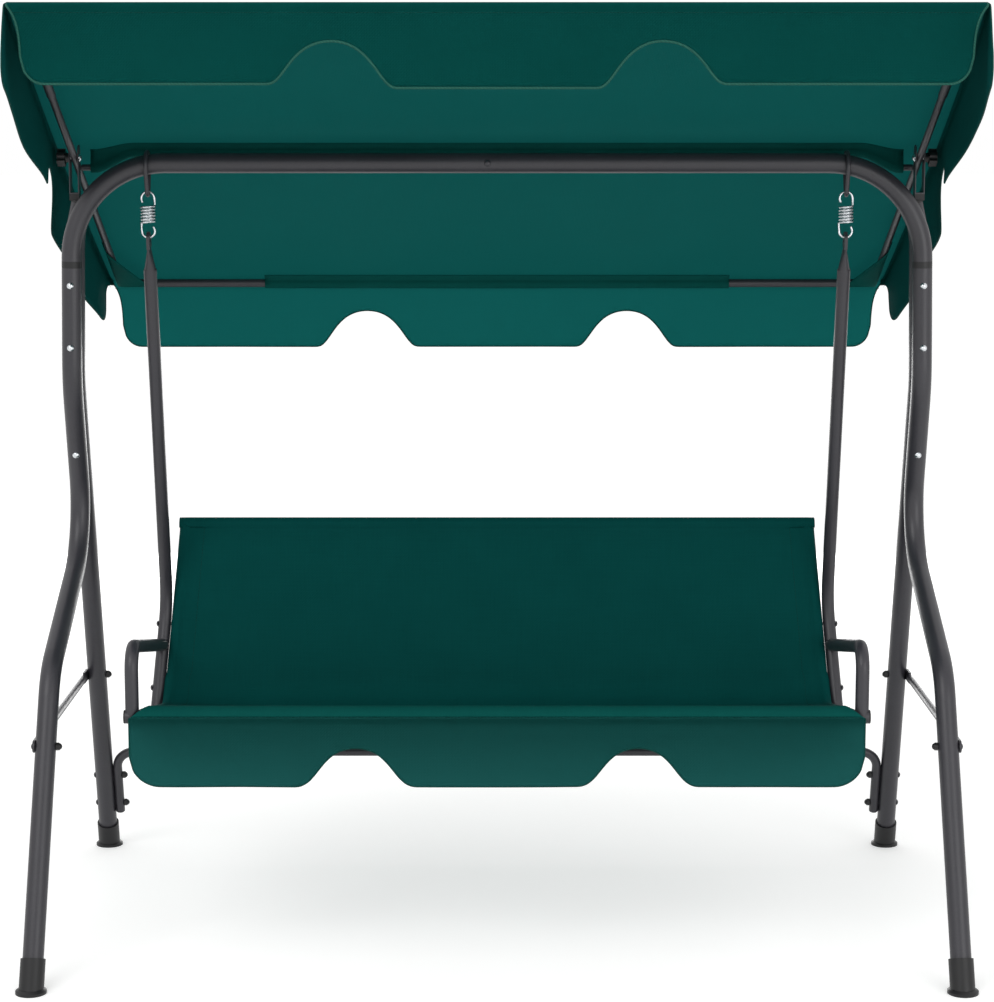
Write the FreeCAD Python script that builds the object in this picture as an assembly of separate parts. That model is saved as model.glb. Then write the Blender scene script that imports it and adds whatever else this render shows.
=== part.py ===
import FreeCAD, Part
import math
import os
from FreeCAD import Vector

os.makedirs("parts", exist_ok=True)

# All sizes are millimetres. Front faces -Y, right is +X, the floor is z = 0.
# Everything is drawn with the top bar above y = 0 and moved by box_shift when it is saved,
# so that the origin lies on the floor under the middle of the whole object.
box_shift = -48.34

# Side frames
leg_diameter = 38.0
leg_wall = 1.5
leg_top_x = 807.0
foot_x = 832.0
leg_top_z = 1263.0
upper_bend_z = 1045.0
upper_bend_radius = 220.0
rear_lean = math.radians(22.36)
leg_touch_gap = 0.2
branch_z = 729.0
branch_radius = 140.0
knee_y = -264.0
knee_z = 538.0
knee_radius = 120.0
front_foot_y = -483.0
post_bend_z = 1320.0
post_bend_radius = 235.0
post_top_x = 792.5
post_top_z = 1383.0

# Foot caps
tube_end_z = 17.0
cap_diameter = 45.0
cap_length = 42.0
flange_diameter = 56.0
flange_height = 5.0
flange_slope = 4.0
push_fit = 0.1

# Top bar
bar_z = 1460.6
bar_bend_radius = 180.0
seam_gap = 0.3
neck_diameter = 34.6
neck_cone = 6.0
neck_end_z = 1096.0
collar_height = 13.0
joiner_length = 160.0
joiner_wall = 2.0
bar_screw_x = -18.0

# Screws, bolts and nuts
screw_diameter = 6.0
screw_clearance = 0.2
screw_head_diameter = 13.0
screw_head_height = 4.0
nut_flats = 10.0
nut_height = 5.0
cap_nut_flats = 13.0
cap_nut_height = 6.0
cap_nut_dome = 5.0
leg_screw_drops = (33.0, 151.0, 357.0)

# Side braces
brace_z = 410.0
brace_rod = 14.0
brace_tongue = 23.0
brace_thickness = 4.0
brace_flat = 40.0

# Rear lower cross bar
cross_tube = 19.0
cross_wall = 1.2
cross_bar_z = 228.0
cross_end_z = 85.0
cross_bend_radius = 40.0
cross_bolt_heights = (172.0, 105.0)

# Canopy pivots
pivot_x = 803.0
pivot_y = 38.2
pivot_z = 1470.0
canopy_tilt = math.radians(25.4)
pivot_bolt = 8.0
running_clearance = 0.05
fork_gap = 14.6
fork_plate = 2.0
fork_depth = 25.0
fork_below_pivot = 68.0
fork_above_pivot = 24.0
fork_stem_length = 62.0
fork_stem_width = 6.0
fork_stem_depth = 16.0
post_cap_thickness = 5.0
post_plug_length = 20.0
bolt_head_diameter = 15.0
bolt_head_height = 4.5
knob_gap = 0.4
knob_neck_diameter = 18.0
knob_neck_length = 7.0
knob_diameter = 34.0
knob_thickness = 15.0
knob_lobes = 6
knob_groove_diameter = 12.0
knob_groove_offset = 2.0
knob_floor = 2.0
bolt_short_of_knob = 3.0

# Canopy frame, measured along the rails from the pivot
rail_diameter = 14.0
rail_wall = 1.2
canopy_front = -590.0
canopy_rear = 643.0
canopy_bar = 17.0
canopy_bar_wall = 1.2
canopy_corner_radius = 45.0
front_stub_end = -270.0
rear_stub_end = 560.0
stub_overlap = 50.0
rib_diameter = 12.0
rib_end_place = 45.0
rib_place = 16.0
rib_rise = 20.0
rib_ramp = 90.0
rib_stub = 30.0
rib_low_bend = 30.0
rib_high_bend = 60.0

# Canopy cover
cloth = 2.0
cover_clear = 0.4
cover_overhang = 17.0
cover_crown = 20.0
cover_past_rail = 12.0
cover_bow = 30.0
valance_drop = 139.0
valance_past_rail = 5.0
valance_corner = 45.0
canopy_notch_x = 282.0
notch_half_foot = 115.0
notch_half_top = 14.0
notch_depth = 76.0
side_notch_place = -30.0
pocket_size = 95.0
rear_sleeve_half = 495.0

# Hanging links and springs
hang_x = 660.0
link_wire = 8.0
link_clear = 3.0
link_sag = 1.2
link_bottom_radius = 9.0
hook_gap = 0.3
spring_wire = 4.0
hook_radius = 12.2
hook_top_z = 1407.0
hook_bottom_z = 1321.0
coil_radius = 12.5
coil_top_z = 1380.0
coil_bottom_z = 1349.0
coil_turns = 5.5

# Seat frame
seat_tube = 25.0
seat_wall = 1.3
front_bar_y = -322.0
front_bar_z = 467.0
front_bar_past_rail = 29.5
seat_corner_y = 93.0
seat_corner_z = 385.0
seat_corner_radius = 70.0
back_top_y = 231.0
back_top_z = 733.0
rail_bottom_x = 646.5
rail_taper = 23.0
joint_gap = 0.2
hanger_bend_z = 587.0
hanger_end_z = 388.0
hanger_bend_radius = 150.0
hanger_flat = 6.0
hanger_flat_width = 31.0
hanger_hole = 12.0
hanger_edge = 8.0
hanger_flatten_start = 18.0
hanger_flatten_end = 60.0
hanger_clear = 0.3
hanger_hook_gap = 0.8
head_seat = 0.5
armrest_rear_z = 505.0
armrest_front_z = 598.0
armrest_past_rail = 17.5
armrest_radius = 40.0
hanger_bolt_heights = (545.0, 425.0)
rear_bar_tube = 20.0
rear_bar_rise = 75.0
rear_bar_setback = 6.0
plug_length = 12.0
plug_head = 3.0

# Sling
sleeve_clear = 0.3
bar_sleeve_ease = 0.4
sling = 2.0
window_clear = 1.0
sling_offset = 10.0
taper_room = 150.0
front_sleeve_short = 18.5
valance_top_z = 468.0
seat_valance_bottom = 335.0
seat_valance_past_rail = 21.5
seat_notch_x = 257.0
seat_notch_half_foot = 100.0
seat_notch_half_top = 34.0
seat_notch_depth = 64.0

leg_radius = leg_diameter / 2
seat_radius = seat_tube / 2
rail_top_x = rail_bottom_x - rail_taper
front_bar_half = rail_bottom_x + front_bar_past_rail
armrest_x = rail_bottom_x + armrest_past_rail
front_sleeve_half = rail_bottom_x - front_sleeve_short
seat_valance_half = rail_bottom_x + seat_valance_past_rail
sleeve_inner = seat_radius + sleeve_clear
sleeve_outer = sleeve_inner + sling
bar_sleeve_inner = sleeve_inner + bar_sleeve_ease
bar_sleeve_outer = sleeve_outer + bar_sleeve_ease
splay = (foot_x - leg_top_x) / leg_top_z
cover_half_width = pivot_x + cover_past_rail
valance_half_width = pivot_x + valance_past_rail
fork_base_z = pivot_z - fork_below_pivot
fork_top_z = pivot_z + fork_above_pivot
fork_stem_end_z = fork_base_z - fork_stem_length
past_everything = 2 * foot_x
across = Vector(1, 0, 0)
backward = Vector(0, 1, 0)
up = Vector(0, 0, 1)


def save(name, *shapes):
    shape = shapes[0] if len(shapes) == 1 else Part.makeCompound(list(shapes))
    shape = shape.copy()
    shape.translate(Vector(0, box_shift, 0))
    shape.exportStep("parts/" + name + ".step")


def mirrored(shape):
    return shape.mirror(Vector(0, 0, 0), across)


def save_pair(name, right):
    save(name + "_right", right)
    save(name + "_left", mirrored(right))


def save_both_sides(name, right_shapes):
    save(name, *right_shapes, *[mirrored(shape) for shape in right_shapes])


def cylinder(start, direction, radius, length):
    return Part.makeCylinder(radius, length, start, direction)


def unit(vector):
    return Vector(vector) / vector.Length


# A wire through the points with an arc of the given radius at every inner corner.
def bent_path(points, radii):
    edges = []
    start = points[0]
    for before, corner, after, radius in zip(points, points[1:], points[2:], radii):
        toward_start = unit(before - corner)
        toward_end = unit(after - corner)
        half_angle = toward_start.getAngle(toward_end) / 2
        run = radius / math.tan(half_angle)
        inward = unit(toward_start + toward_end)
        middle = corner + inward * (radius / math.sin(half_angle) - radius)
        arc_start = corner + toward_start * run
        arc_end = corner + toward_end * run
        if (arc_start - start).Length > 0.01:
            edges.append(Part.LineSegment(start, arc_start).toShape())
        edges.append(Part.Arc(arc_start, middle, arc_end).toShape())
        start = arc_end
    edges.append(Part.LineSegment(start, points[-1]).toShape())
    return Part.Wire(edges)


def rod_along(points, radii, diameter):
    ring = Part.Wire(Part.makeCircle(diameter / 2, points[0], points[1] - points[0]))
    return bent_path(points, radii).makePipeShell([ring], True, False)


def tube_along(points, radii, diameter, wall):
    return rod_along(points, radii, diameter).cut(rod_along(points, radii, diameter - 2 * wall))


def point_at_height(low, high, z):
    return low + (high - low) * ((z - low.z) / (high.z - low.z))


def dome(start, direction, radius, height):
    ball = (radius ** 2 + height ** 2) / (2 * height)
    rim = math.degrees(math.asin((ball - height) / ball))
    centre = start - unit(direction) * (ball - height)
    return Part.makeSphere(ball, centre, direction, rim, 90, 360)


def hexagon(start, direction, flats, height):
    prism = Part.Face(Part.makePolygon([
        Vector(flats / math.sqrt(3) * math.cos(turn * math.pi / 3),
               flats / math.sqrt(3) * math.sin(turn * math.pi / 3), 0) for turn in range(7)]))
    prism = prism.extrude(Vector(0, 0, height))
    prism.Placement = FreeCAD.Placement(start, FreeCAD.Rotation(up, direction))
    return prism


# A round-headed screw: the head stands on the start point, the shank runs along the direction.
def screw(start, direction, length):
    shank = cylinder(start, direction, screw_diameter / 2, length)
    return dome(start, direction * -1, screw_head_diameter / 2, screw_head_height).fuse(shank)


def screw_hole(start, direction, length):
    return cylinder(start, direction, screw_diameter / 2 + screw_clearance, length)


def plain_nut(start, direction):
    nut = hexagon(start, direction, nut_flats, nut_height)
    return nut.cut(screw_hole(start - direction, direction, nut_height + 2))


def cap_nut(start, direction):
    nut = hexagon(start, direction, cap_nut_flats, cap_nut_height)
    top = start + unit(direction) * cap_nut_height
    nut = nut.fuse(dome(top, direction, cap_nut_flats / 2 - 0.3, cap_nut_dome))
    return nut.cut(screw_hole(start - direction, direction, cap_nut_height + 1))


# Side frames are drawn in a flat plane that leans out by the splay.
def side_point(y, z):
    return Vector(leg_top_x + (leg_top_z - z) * splay, y, z)


leg_pitch = leg_diameter + leg_touch_gap
rear_bend_z = upper_bend_z + leg_pitch * math.tan(rear_lean / 2)


def front_leg_y(z):
    return max(0, (upper_bend_z - z) * math.tan(rear_lean))


def rear_leg_y(z):
    return leg_pitch + max(0, (rear_bend_z - z) * math.tan(rear_lean))


knee = side_point(knee_y, knee_z)
front_foot = side_point(front_foot_y, 0)
rear_foot = side_point(rear_leg_y(0), 0)
rear_bend = side_point(leg_pitch, rear_bend_z)
post_bend = side_point(leg_pitch, post_bend_z)
post_top = Vector(post_top_x, leg_pitch, post_top_z)

front_leg_points = [side_point(0, leg_top_z), side_point(0, upper_bend_z),
                    side_point(front_leg_y(branch_z), branch_z), knee,
                    point_at_height(front_foot, knee, tube_end_z)]
rear_leg_points = [post_top, post_bend, rear_bend,
                   point_at_height(rear_foot, rear_bend, tube_end_z)]
front_leg = tube_along(front_leg_points, (upper_bend_radius, branch_radius, knee_radius),
                       leg_diameter, leg_wall)
rear_leg = tube_along(rear_leg_points, (post_bend_radius, upper_bend_radius - leg_pitch),
                      leg_diameter, leg_wall)


# Foot caps: a sleeve along the leg on a level flange, with a socket for the tube.
def foot_cap(foot, tube_end):
    axis = unit(tube_end - foot)
    root = 2 * tube_end_z
    cap = cylinder(tube_end - axis * root, axis, cap_diameter / 2, root + cap_length)
    flange = cylinder(foot, up, flange_diameter / 2, flange_height)
    skirt = Part.makeCone(flange_diameter / 2, cap_diameter / 2, flange_slope,
                          foot + up * flange_height)
    cap = cap.fuse([flange, skirt])
    cap = cap.cut(cylinder(foot - up * root, up, 2 * flange_diameter, root))
    return cap.cut(cylinder(tube_end, axis, leg_radius + push_fit, 2 * cap_length)).removeSplitter()


save_pair("front_foot_cap", foot_cap(front_foot, front_leg_points[-1]))
save_pair("rear_foot_cap", foot_cap(rear_foot, rear_leg_points[-1]))

# Top bar: two bent halves whose necks slip into the front legs.
leg_axis = unit(side_point(0, leg_top_z) - side_point(0, 0))
shoulder = side_point(0, leg_top_z + collar_height)
neck_top = shoulder - leg_axis * neck_cone
neck_end = side_point(0, neck_end_z)
bar_points = [Vector(seam_gap / 2, 0, bar_z), side_point(0, bar_z), shoulder]


def bar_solid(bar_width, neck_width, extra):
    solid = rod_along(bar_points, (bar_bend_radius,), bar_width)
    cone = Part.makeCone(bar_width / 2, neck_width / 2, neck_cone, shoulder, leg_axis * -1)
    neck = cylinder(neck_top, leg_axis * -1, neck_width / 2, (neck_top - neck_end).Length + extra)
    return solid.fuse([cone, neck])


top_bar = bar_solid(leg_diameter, neck_diameter, 0)
top_bar = top_bar.cut(bar_solid(leg_diameter - 2 * leg_wall, neck_diameter - 2 * leg_wall, 5))
collar = cylinder(side_point(0, leg_top_z), leg_axis, leg_radius, collar_height)
collar = collar.cut(bar_solid(leg_diameter + 2 * push_fit, neck_diameter + 2 * push_fit, 0))
save_both_sides("leg_collars", [collar])

# Screws clamp the front leg, the neck of the top bar and the rear leg together.
leg_screws = []
leg_nuts = []
for drop in leg_screw_drops:
    height = leg_top_z - drop
    lean = rear_lean if height < upper_bend_z else 0
    direction = Vector(0, math.cos(lean), math.sin(lean))
    head = side_point(front_leg_y(height), height) - direction * leg_radius
    reach = leg_pitch + leg_diameter
    leg_screws.append(screw(head, direction, reach + nut_height + 1))
    leg_nuts.append(plain_nut(head + direction * reach, direction))
    hole = screw_hole(head - direction * 20, direction, reach + 40)
    front_leg = front_leg.cut(hole)
    rear_leg = rear_leg.cut(hole)
    top_bar = top_bar.cut(hole)
save_both_sides("leg_screws", leg_screws)
save_both_sides("leg_nuts", leg_nuts)

# The halves meet over a joining sleeve; one screw from the front holds it.
joiner = cylinder(Vector(-joiner_length / 2, 0, bar_z), across, neck_diameter / 2, joiner_length)
joiner = joiner.cut(cylinder(Vector(-joiner_length, 0, bar_z), across,
                             neck_diameter / 2 - joiner_wall, 2 * joiner_length))
bar_screw_start = Vector(bar_screw_x, -leg_radius, bar_z)
bar_screw_hole = screw_hole(bar_screw_start - backward * 5, backward, leg_radius)
save("top_bar_right", top_bar)
save("top_bar_left", mirrored(top_bar).cut(bar_screw_hole))
save("top_bar_sleeve", joiner.cut(bar_screw_hole))
save("top_bar_screw", screw(bar_screw_start, backward, 9))

# Side braces: a rod with flattened ends on the outer faces of the legs.
brace_front = point_at_height(front_foot, knee, brace_z)
brace_rear = side_point(rear_leg_y(brace_z), brace_z)
brace_x = brace_front.x + leg_radius + brace_thickness / 2 + 0.1
brace_start = Vector(brace_x, brace_front.y, brace_z)
brace_length = brace_rear.y - brace_front.y
brace = cylinder(brace_start + backward * brace_flat, backward, brace_rod / 2,
                 brace_length - 2 * brace_flat)
brace_bolts = []
brace_nuts = []
brace_end = brace_start + backward * brace_length
for end, direction in ((brace_start, backward), (brace_end, backward * -1)):
    tongue = Part.makeBox(brace_thickness, brace_flat, brace_tongue,
                          Vector(-brace_thickness / 2, 0, -brace_tongue / 2))
    tongue = tongue.fuse(cylinder(across * (-brace_thickness / 2), across, brace_tongue / 2,
                                  brace_thickness))
    taper = Part.makeCone(brace_thickness / 2, brace_rod / 2, brace_flat / 2,
                          backward * (brace_flat / 2), backward)
    piece = tongue.fuse(taper)
    if direction.y < 0:
        piece = piece.mirror(Vector(0, 0, 0), backward)
    piece.translate(end)
    brace = brace.fuse(piece)
    bolt_start = end + across * (brace_thickness / 2)
    reach = brace_thickness + leg_diameter + 0.2
    brace_bolts.append(screw(bolt_start, across * -1, reach + cap_nut_height))
    brace_nuts.append(cap_nut(bolt_start - across * reach, across * -1))
    hole = screw_hole(bolt_start + across * 5, across * -1, reach + 20)
    brace = brace.cut(hole)
    front_leg = front_leg.cut(hole)
    rear_leg = rear_leg.cut(hole)
save_pair("side_brace", brace.removeSplitter())
save_both_sides("brace_bolts", brace_bolts)
save_both_sides("brace_cap_nuts", brace_nuts)

# Rear cross bar: its ends turn down along the inner faces of the rear legs.
beside_leg = across * (leg_radius + cross_tube / 2 + 0.1)
cross_end = side_point(rear_leg_y(cross_end_z), cross_end_z) - beside_leg
cross_corner = side_point(rear_leg_y(cross_bar_z), cross_bar_z) - beside_leg


def other_side(point):
    return Vector(-point.x, point.y, point.z)


cross_bar = tube_along([cross_end, cross_corner, other_side(cross_corner), other_side(cross_end)],
                       (cross_bend_radius, cross_bend_radius), cross_tube, cross_wall)
cross_bolts = []
cross_nuts = []
for height in cross_bolt_heights:
    bolt_start = side_point(rear_leg_y(height), height) + across * leg_radius
    reach = leg_diameter + cross_tube + 0.1
    cross_bolts.append(screw(bolt_start, across * -1, reach + cap_nut_height))
    cross_nuts.append(cap_nut(bolt_start - across * reach, across * -1))
    hole = screw_hole(bolt_start + across * 5, across * -1, reach + 20)
    rear_leg = rear_leg.cut(hole)
    cross_bar = cross_bar.cut([hole, mirrored(hole)])
save("rear_cross_bar", cross_bar)
save_both_sides("cross_bar_bolts", cross_bolts)
save_both_sides("cross_bar_cap_nuts", cross_nuts)
save_pair("front_leg", front_leg)
save_pair("rear_leg", rear_leg)

# Canopy forks: a folded strip on a stem that goes down into the rear leg's top.
pivot = Vector(pivot_x, pivot_y, pivot_z)
fork_half = fork_gap / 2 + fork_plate
fork_corner = Vector(pivot_x - fork_half, pivot_y - fork_depth / 2, fork_base_z)
fork = Part.makeBox(2 * fork_half, fork_depth, fork_top_z - fork_depth / 2 - fork_base_z, fork_corner)
fork = fork.fuse(cylinder(Vector(pivot_x - fork_half, pivot_y, fork_top_z - fork_depth / 2), across,
                          fork_depth / 2, 2 * fork_half))
fork = fork.cut(Part.makeBox(fork_gap, 2 * fork_depth, 2 * fork_top_z,
                             Vector(pivot_x - fork_gap / 2, pivot_y - fork_depth,
                                    fork_base_z + fork_plate)))
stem_corner = Vector(pivot_x - fork_stem_width / 2, pivot_y - fork_stem_depth / 2, fork_stem_end_z)
stem = Part.makeBox(fork_stem_width, fork_stem_depth, fork_base_z - fork_stem_end_z, stem_corner)
fork = fork.fuse(stem)
fork = fork.cut(cylinder(pivot - across * 50, across, pivot_bolt / 2 + 0.1, 100)).removeSplitter()
save_pair("canopy_fork", fork)

# Post caps: a disc with a plug below it and a block above it that carries the fork.
post_axis = unit(post_top - post_bend)
post_cap = cylinder(post_top, post_axis, leg_radius, post_cap_thickness)
post_cap = post_cap.fuse(cylinder(post_top, post_axis * -1, leg_radius - leg_wall - push_fit,
                                  post_plug_length))
block_height = fork_base_z - post_top_z
block = Part.makeBox(2 * fork_half, fork_depth, block_height + post_plug_length,
                     fork_corner - up * (block_height + post_plug_length))
below_disc = cylinder(post_top + post_axis * (post_cap_thickness / 2), post_axis * -1, 100, 100)
post_cap = post_cap.fuse(block.cut(below_disc))
stem_room = Part.makeBox(fork_stem_width + 2 * push_fit, fork_stem_depth + 2 * push_fit, 100,
                         stem_corner - Vector(push_fit, push_fit, 0))
save_both_sides("post_caps", [post_cap.cut(stem_room).removeSplitter()])

knob_start = pivot + across * (fork_half + knob_gap)
knob_end = knob_start + across * (knob_neck_length + knob_thickness)
bolt_head = pivot - across * fork_half
pivot_bolt_shape = cylinder(bolt_head, across, pivot_bolt / 2,
                            (knob_end - bolt_head).Length - bolt_short_of_knob)
pivot_bolt_shape = pivot_bolt_shape.fuse(dome(bolt_head, across * -1, bolt_head_diameter / 2,
                                              bolt_head_height))
save_pair("pivot_bolt", pivot_bolt_shape)

# Hand knobs: a lobed head on a neck, turning on the pivot bolt.
knob_head_start = knob_start + across * knob_neck_length
knob = cylinder(knob_head_start, across, knob_diameter / 2, knob_thickness)
for lobe in range(knob_lobes):
    turn = 2 * math.pi * lobe / knob_lobes
    groove = knob_head_start + Vector(0, math.cos(turn), math.sin(turn)) * (
        knob_diameter / 2 + knob_groove_offset)
    knob = knob.cut(cylinder(groove - across, across, knob_groove_diameter / 2, knob_thickness + 2))
knob = knob.fuse(cylinder(knob_start, across, knob_neck_diameter / 2, knob_neck_length))
knob_bore = cylinder(knob_start - across, across, pivot_bolt / 2 + running_clearance,
                     1 + knob_neck_length + knob_thickness - knob_floor)
save_pair("canopy_knob", knob.cut(knob_bore))


# Canopy pieces are drawn level around the pivot line (y along the rails), then tilted.
def tilted(shape):
    shape = shape.copy()
    shape.rotate(Vector(0, 0, 0), across, -math.degrees(canopy_tilt))
    shape.translate(Vector(0, pivot_y, pivot_z))
    return shape


def canopy_u_bar(place, stub_end):
    points = [Vector(pivot_x, stub_end, 0), Vector(pivot_x, place, 0),
              Vector(-pivot_x, place, 0), Vector(-pivot_x, stub_end, 0)]
    return tube_along(points, (canopy_corner_radius, canopy_corner_radius), canopy_bar, canopy_bar_wall)


save("canopy_front_bar", tilted(canopy_u_bar(canopy_front, front_stub_end)))
save("canopy_rear_bar", tilted(canopy_u_bar(canopy_rear, rear_stub_end)))

rail_start = Vector(pivot_x, front_stub_end - stub_overlap, 0)
rail_end = Vector(pivot_x, rear_stub_end + stub_overlap / 2, 0)
rail = tube_along([rail_start, rail_end], (), rail_diameter, rail_wall)
rail = rail.cut(cylinder(Vector(pivot_x - rail_diameter, 0, 0), across,
                         pivot_bolt / 2 + running_clearance, 2 * rail_diameter))
save_pair("canopy_rail", tilted(rail))

# The middle rib starts at the rails and rises over the top bar.
rib_end_x = pivot_x - rail_diameter / 2 - joint_gap
rib_half = [Vector(rib_end_x, rib_end_place, 0), Vector(rib_end_x - rib_stub, rib_end_place, 0),
            Vector(rib_end_x - rib_ramp, rib_place, rib_rise)]
rib_points = rib_half + [other_side(point) for point in reversed(rib_half)]
rib = tube_along(rib_points, (rib_low_bend, rib_high_bend, rib_high_bend, rib_low_bend),
                 rib_diameter, rail_wall)
save("canopy_middle_rib", tilted(rib))

# Cover top: an arched sheet that lies on the front and rear bars, with sides that bow outwards.
cover_start = canopy_front - cover_overhang
cover_end = canopy_rear + cover_overhang
cover_middle = (cover_start + cover_end) / 2
cover_low = canopy_bar / 2 + cover_clear


def cover_arc(rise):
    return Part.Arc(Vector(0, cover_start, cover_low + rise),
                    Vector(0, cover_middle, cover_low + cover_crown + rise),
                    Vector(0, cover_end, cover_low + rise)).toShape()


def band_between(lower, upper):
    ends = [Part.LineSegment(lower.Vertexes[at].Point, upper.Vertexes[at].Point).toShape()
            for at in (0, 1)]
    return Part.Face(Part.Wire(Part.__sortEdges__([lower, upper] + ends)))


def bow_edge(side, extra):
    return Part.Arc(Vector(side * (cover_half_width + extra), cover_start - 1, 0),
                    Vector(side * (cover_half_width + cover_bow + extra), cover_middle, 0),
                    Vector(side * (cover_half_width + extra), cover_end + 1, 0)).toShape()


cover_room = 200.0
cover_width = 2 * (cover_half_width + cover_bow) + 20
cover = band_between(cover_arc(0), cover_arc(cloth))
cover.translate(across * (-cover_width / 2))
cover = cover.extrude(across * cover_width)
plan = band_between(bow_edge(-1, 0), bow_edge(1, 0))
plan.translate(up * -cover_room / 2)
cover = cover.common(plan.extrude(up * cover_room))
save("canopy_top", tilted(cover))


# Half of a notch edge: level at the foot, level again at the notch's top.
def notch_curve(foot, peak):
    curve = Part.BezierCurve()
    reach = peak.x - foot.x
    curve.setPoles([foot, foot + across * (reach * 0.62), peak - across * (reach * 0.58), peak])
    return curve.toShape()


# A hanging panel in the XZ plane: top edge at z = 0, rounded lower corners, notches in the lower edge.
def valance_panel(half_left, half_right, drop, corner, notches, half_foot, half_top, depth, thickness):
    edges = []
    place = Vector(-half_left, 0, -drop + corner)
    edges.append(Part.LineSegment(Vector(-half_left, 0, 0), place).toShape())
    turn = corner * (1 - math.sqrt(0.5))
    edges.append(Part.Arc(place, Vector(-half_left + turn, 0, -drop + turn),
                          Vector(-half_left + corner, 0, -drop)).toShape())
    place = Vector(-half_left + corner, 0, -drop)
    for notch in notches:
        foot = Vector(notch - half_foot, 0, -drop)
        peak = Vector(notch - half_top, 0, -drop + depth)
        far_peak = Vector(notch + half_top, 0, -drop + depth)
        far_foot = Vector(notch + half_foot, 0, -drop)
        edges.append(Part.LineSegment(place, foot).toShape())
        edges.append(notch_curve(foot, peak))
        edges.append(Part.LineSegment(peak, far_peak).toShape())
        edges.append(notch_curve(far_peak, far_foot))
        place = far_foot
    right_corner = Vector(half_right - corner, 0, -drop)
    edges.append(Part.LineSegment(place, right_corner).toShape())
    edges.append(Part.Arc(right_corner, Vector(half_right - turn, 0, -drop + turn),
                          Vector(half_right, 0, -drop + corner)).toShape())
    edges.append(Part.LineSegment(Vector(half_right, 0, -drop + corner), Vector(half_right, 0, 0)).toShape())
    edges.append(Part.LineSegment(Vector(half_right, 0, 0), Vector(-half_left, 0, 0)).toShape())
    return Part.Face(Part.Wire(edges)).extrude(backward * thickness)


# Place of a level canopy point (along the rails, above them) after the tilt.
def tilted_point(along, above):
    return Vector(0, pivot_y + along * math.cos(canopy_tilt) + above * math.sin(canopy_tilt),
                  pivot_z - along * math.sin(canopy_tilt) + above * math.cos(canopy_tilt))


for name, along, outward in (("front", cover_start, -1), ("rear", cover_end, 1)):
    edge = tilted_point(along - outward * 1.0, cover_low)
    panel = valance_panel(valance_half_width, valance_half_width, valance_drop, valance_corner,
                          (-canopy_notch_x, canopy_notch_x), notch_half_foot, notch_half_top,
                          notch_depth, cloth)
    below = cover_clear / 2 + (cloth * math.tan(canopy_tilt) if outward < 0 else 0)
    panel.translate(Vector(0, edge.y - cloth / 2 - outward * cloth / 2, edge.z - below))
    save("canopy_" + name + "_valance", panel)

# Side valances follow the bowed edge and hang at right angles to the rails.
side_panel = valance_panel(-cover_start, cover_end, valance_drop, valance_corner, (side_notch_place,),
                           notch_half_foot, notch_half_top, notch_depth, 2 * cover_width)
side_panel.rotate(Vector(0, 0, 0), up, 90)
side_panel.translate(across * cover_width)
below_cover = band_between(cover_arc(-valance_drop - cover_crown - 30), cover_arc(-0.1))
below_cover = below_cover.extrude(across * cover_width)
skin = band_between(bow_edge(1, -cloth), bow_edge(1, 0))
skin.translate(up * -cover_room)
skin = skin.extrude(up * 2 * cover_room)
side_panel.translate(up * (cover_low + cover_crown))
side_valance = skin.common(side_panel).common(below_cover)
save_pair("canopy_side_valance", tilted(side_valance))

# Corner pockets close over the bent bars; a sleeve holds the middle of the rear bar.
pockets = []
for place, inward in ((canopy_front, 1), (canopy_rear, -1)):
    corner = Vector(pivot_x + canopy_bar / 2, place, 0)
    outline = Part.makePolygon([corner, corner - across * pocket_size,
                                corner + backward * (inward * pocket_size), corner])
    pocket = Part.Face(outline).extrude(up * cloth)
    pocket.translate(up * (-canopy_bar / 2 - cover_clear - cloth))
    pockets.append(tilted(pocket))
save_both_sides("canopy_corner_pockets", pockets)

sleeve_start = Vector(-rear_sleeve_half, canopy_rear, 0)
pocket_sleeve = cylinder(sleeve_start, across, canopy_bar / 2 + cover_clear + cloth, 2 * rear_sleeve_half)
pocket_sleeve = pocket_sleeve.cut(cylinder(sleeve_start - across, across, canopy_bar / 2 + cover_clear,
                                           2 * rear_sleeve_half + 2))
keep = Part.makeBox(2 * rear_sleeve_half, 60, 30, Vector(-rear_sleeve_half, canopy_rear - 30, -26))
save("canopy_rear_sleeve", tilted(pocket_sleeve.common(keep)))

# Hanging links: an oval ring of rod over the top bar.
bend_start_x = side_point(0, bar_z).x - bar_bend_radius
bar_drop = bar_bend_radius - math.sqrt(bar_bend_radius ** 2 - max(0, hang_x - bend_start_x) ** 2)
ring_z = bar_z - bar_drop - link_sag
ring_radius = leg_radius + link_wire / 2 + link_clear
bottom_z = hook_top_z - spring_wire / 2 - hook_gap - link_wire / 2 + link_bottom_radius
spread = ring_z - bottom_z
side_angle = math.asin((ring_radius - link_bottom_radius) / spread)


def link_point(centre_z, radius, angle):
    return Vector(hang_x, radius * math.cos(angle), centre_z + radius * math.sin(angle))


top_right = link_point(ring_z, ring_radius, -side_angle)
top_left = Vector(hang_x, -top_right.y, top_right.z)
low_right = link_point(bottom_z, link_bottom_radius, -side_angle)
low_left = Vector(hang_x, -low_right.y, low_right.z)
link_path = Part.Wire([
    Part.LineSegment(low_left, top_left).toShape(),
    Part.Arc(top_left, link_point(ring_z, ring_radius, math.pi / 2), top_right).toShape(),
    Part.LineSegment(top_right, low_right).toShape(),
    Part.Arc(low_right, link_point(bottom_z, link_bottom_radius, -math.pi / 2), low_left).toShape()])
link_ring = Part.Wire(Part.makeCircle(link_wire / 2, low_left, top_left - low_left))
save_pair("hanging_link", link_path.makePipeShell([link_ring], True, False))

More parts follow.
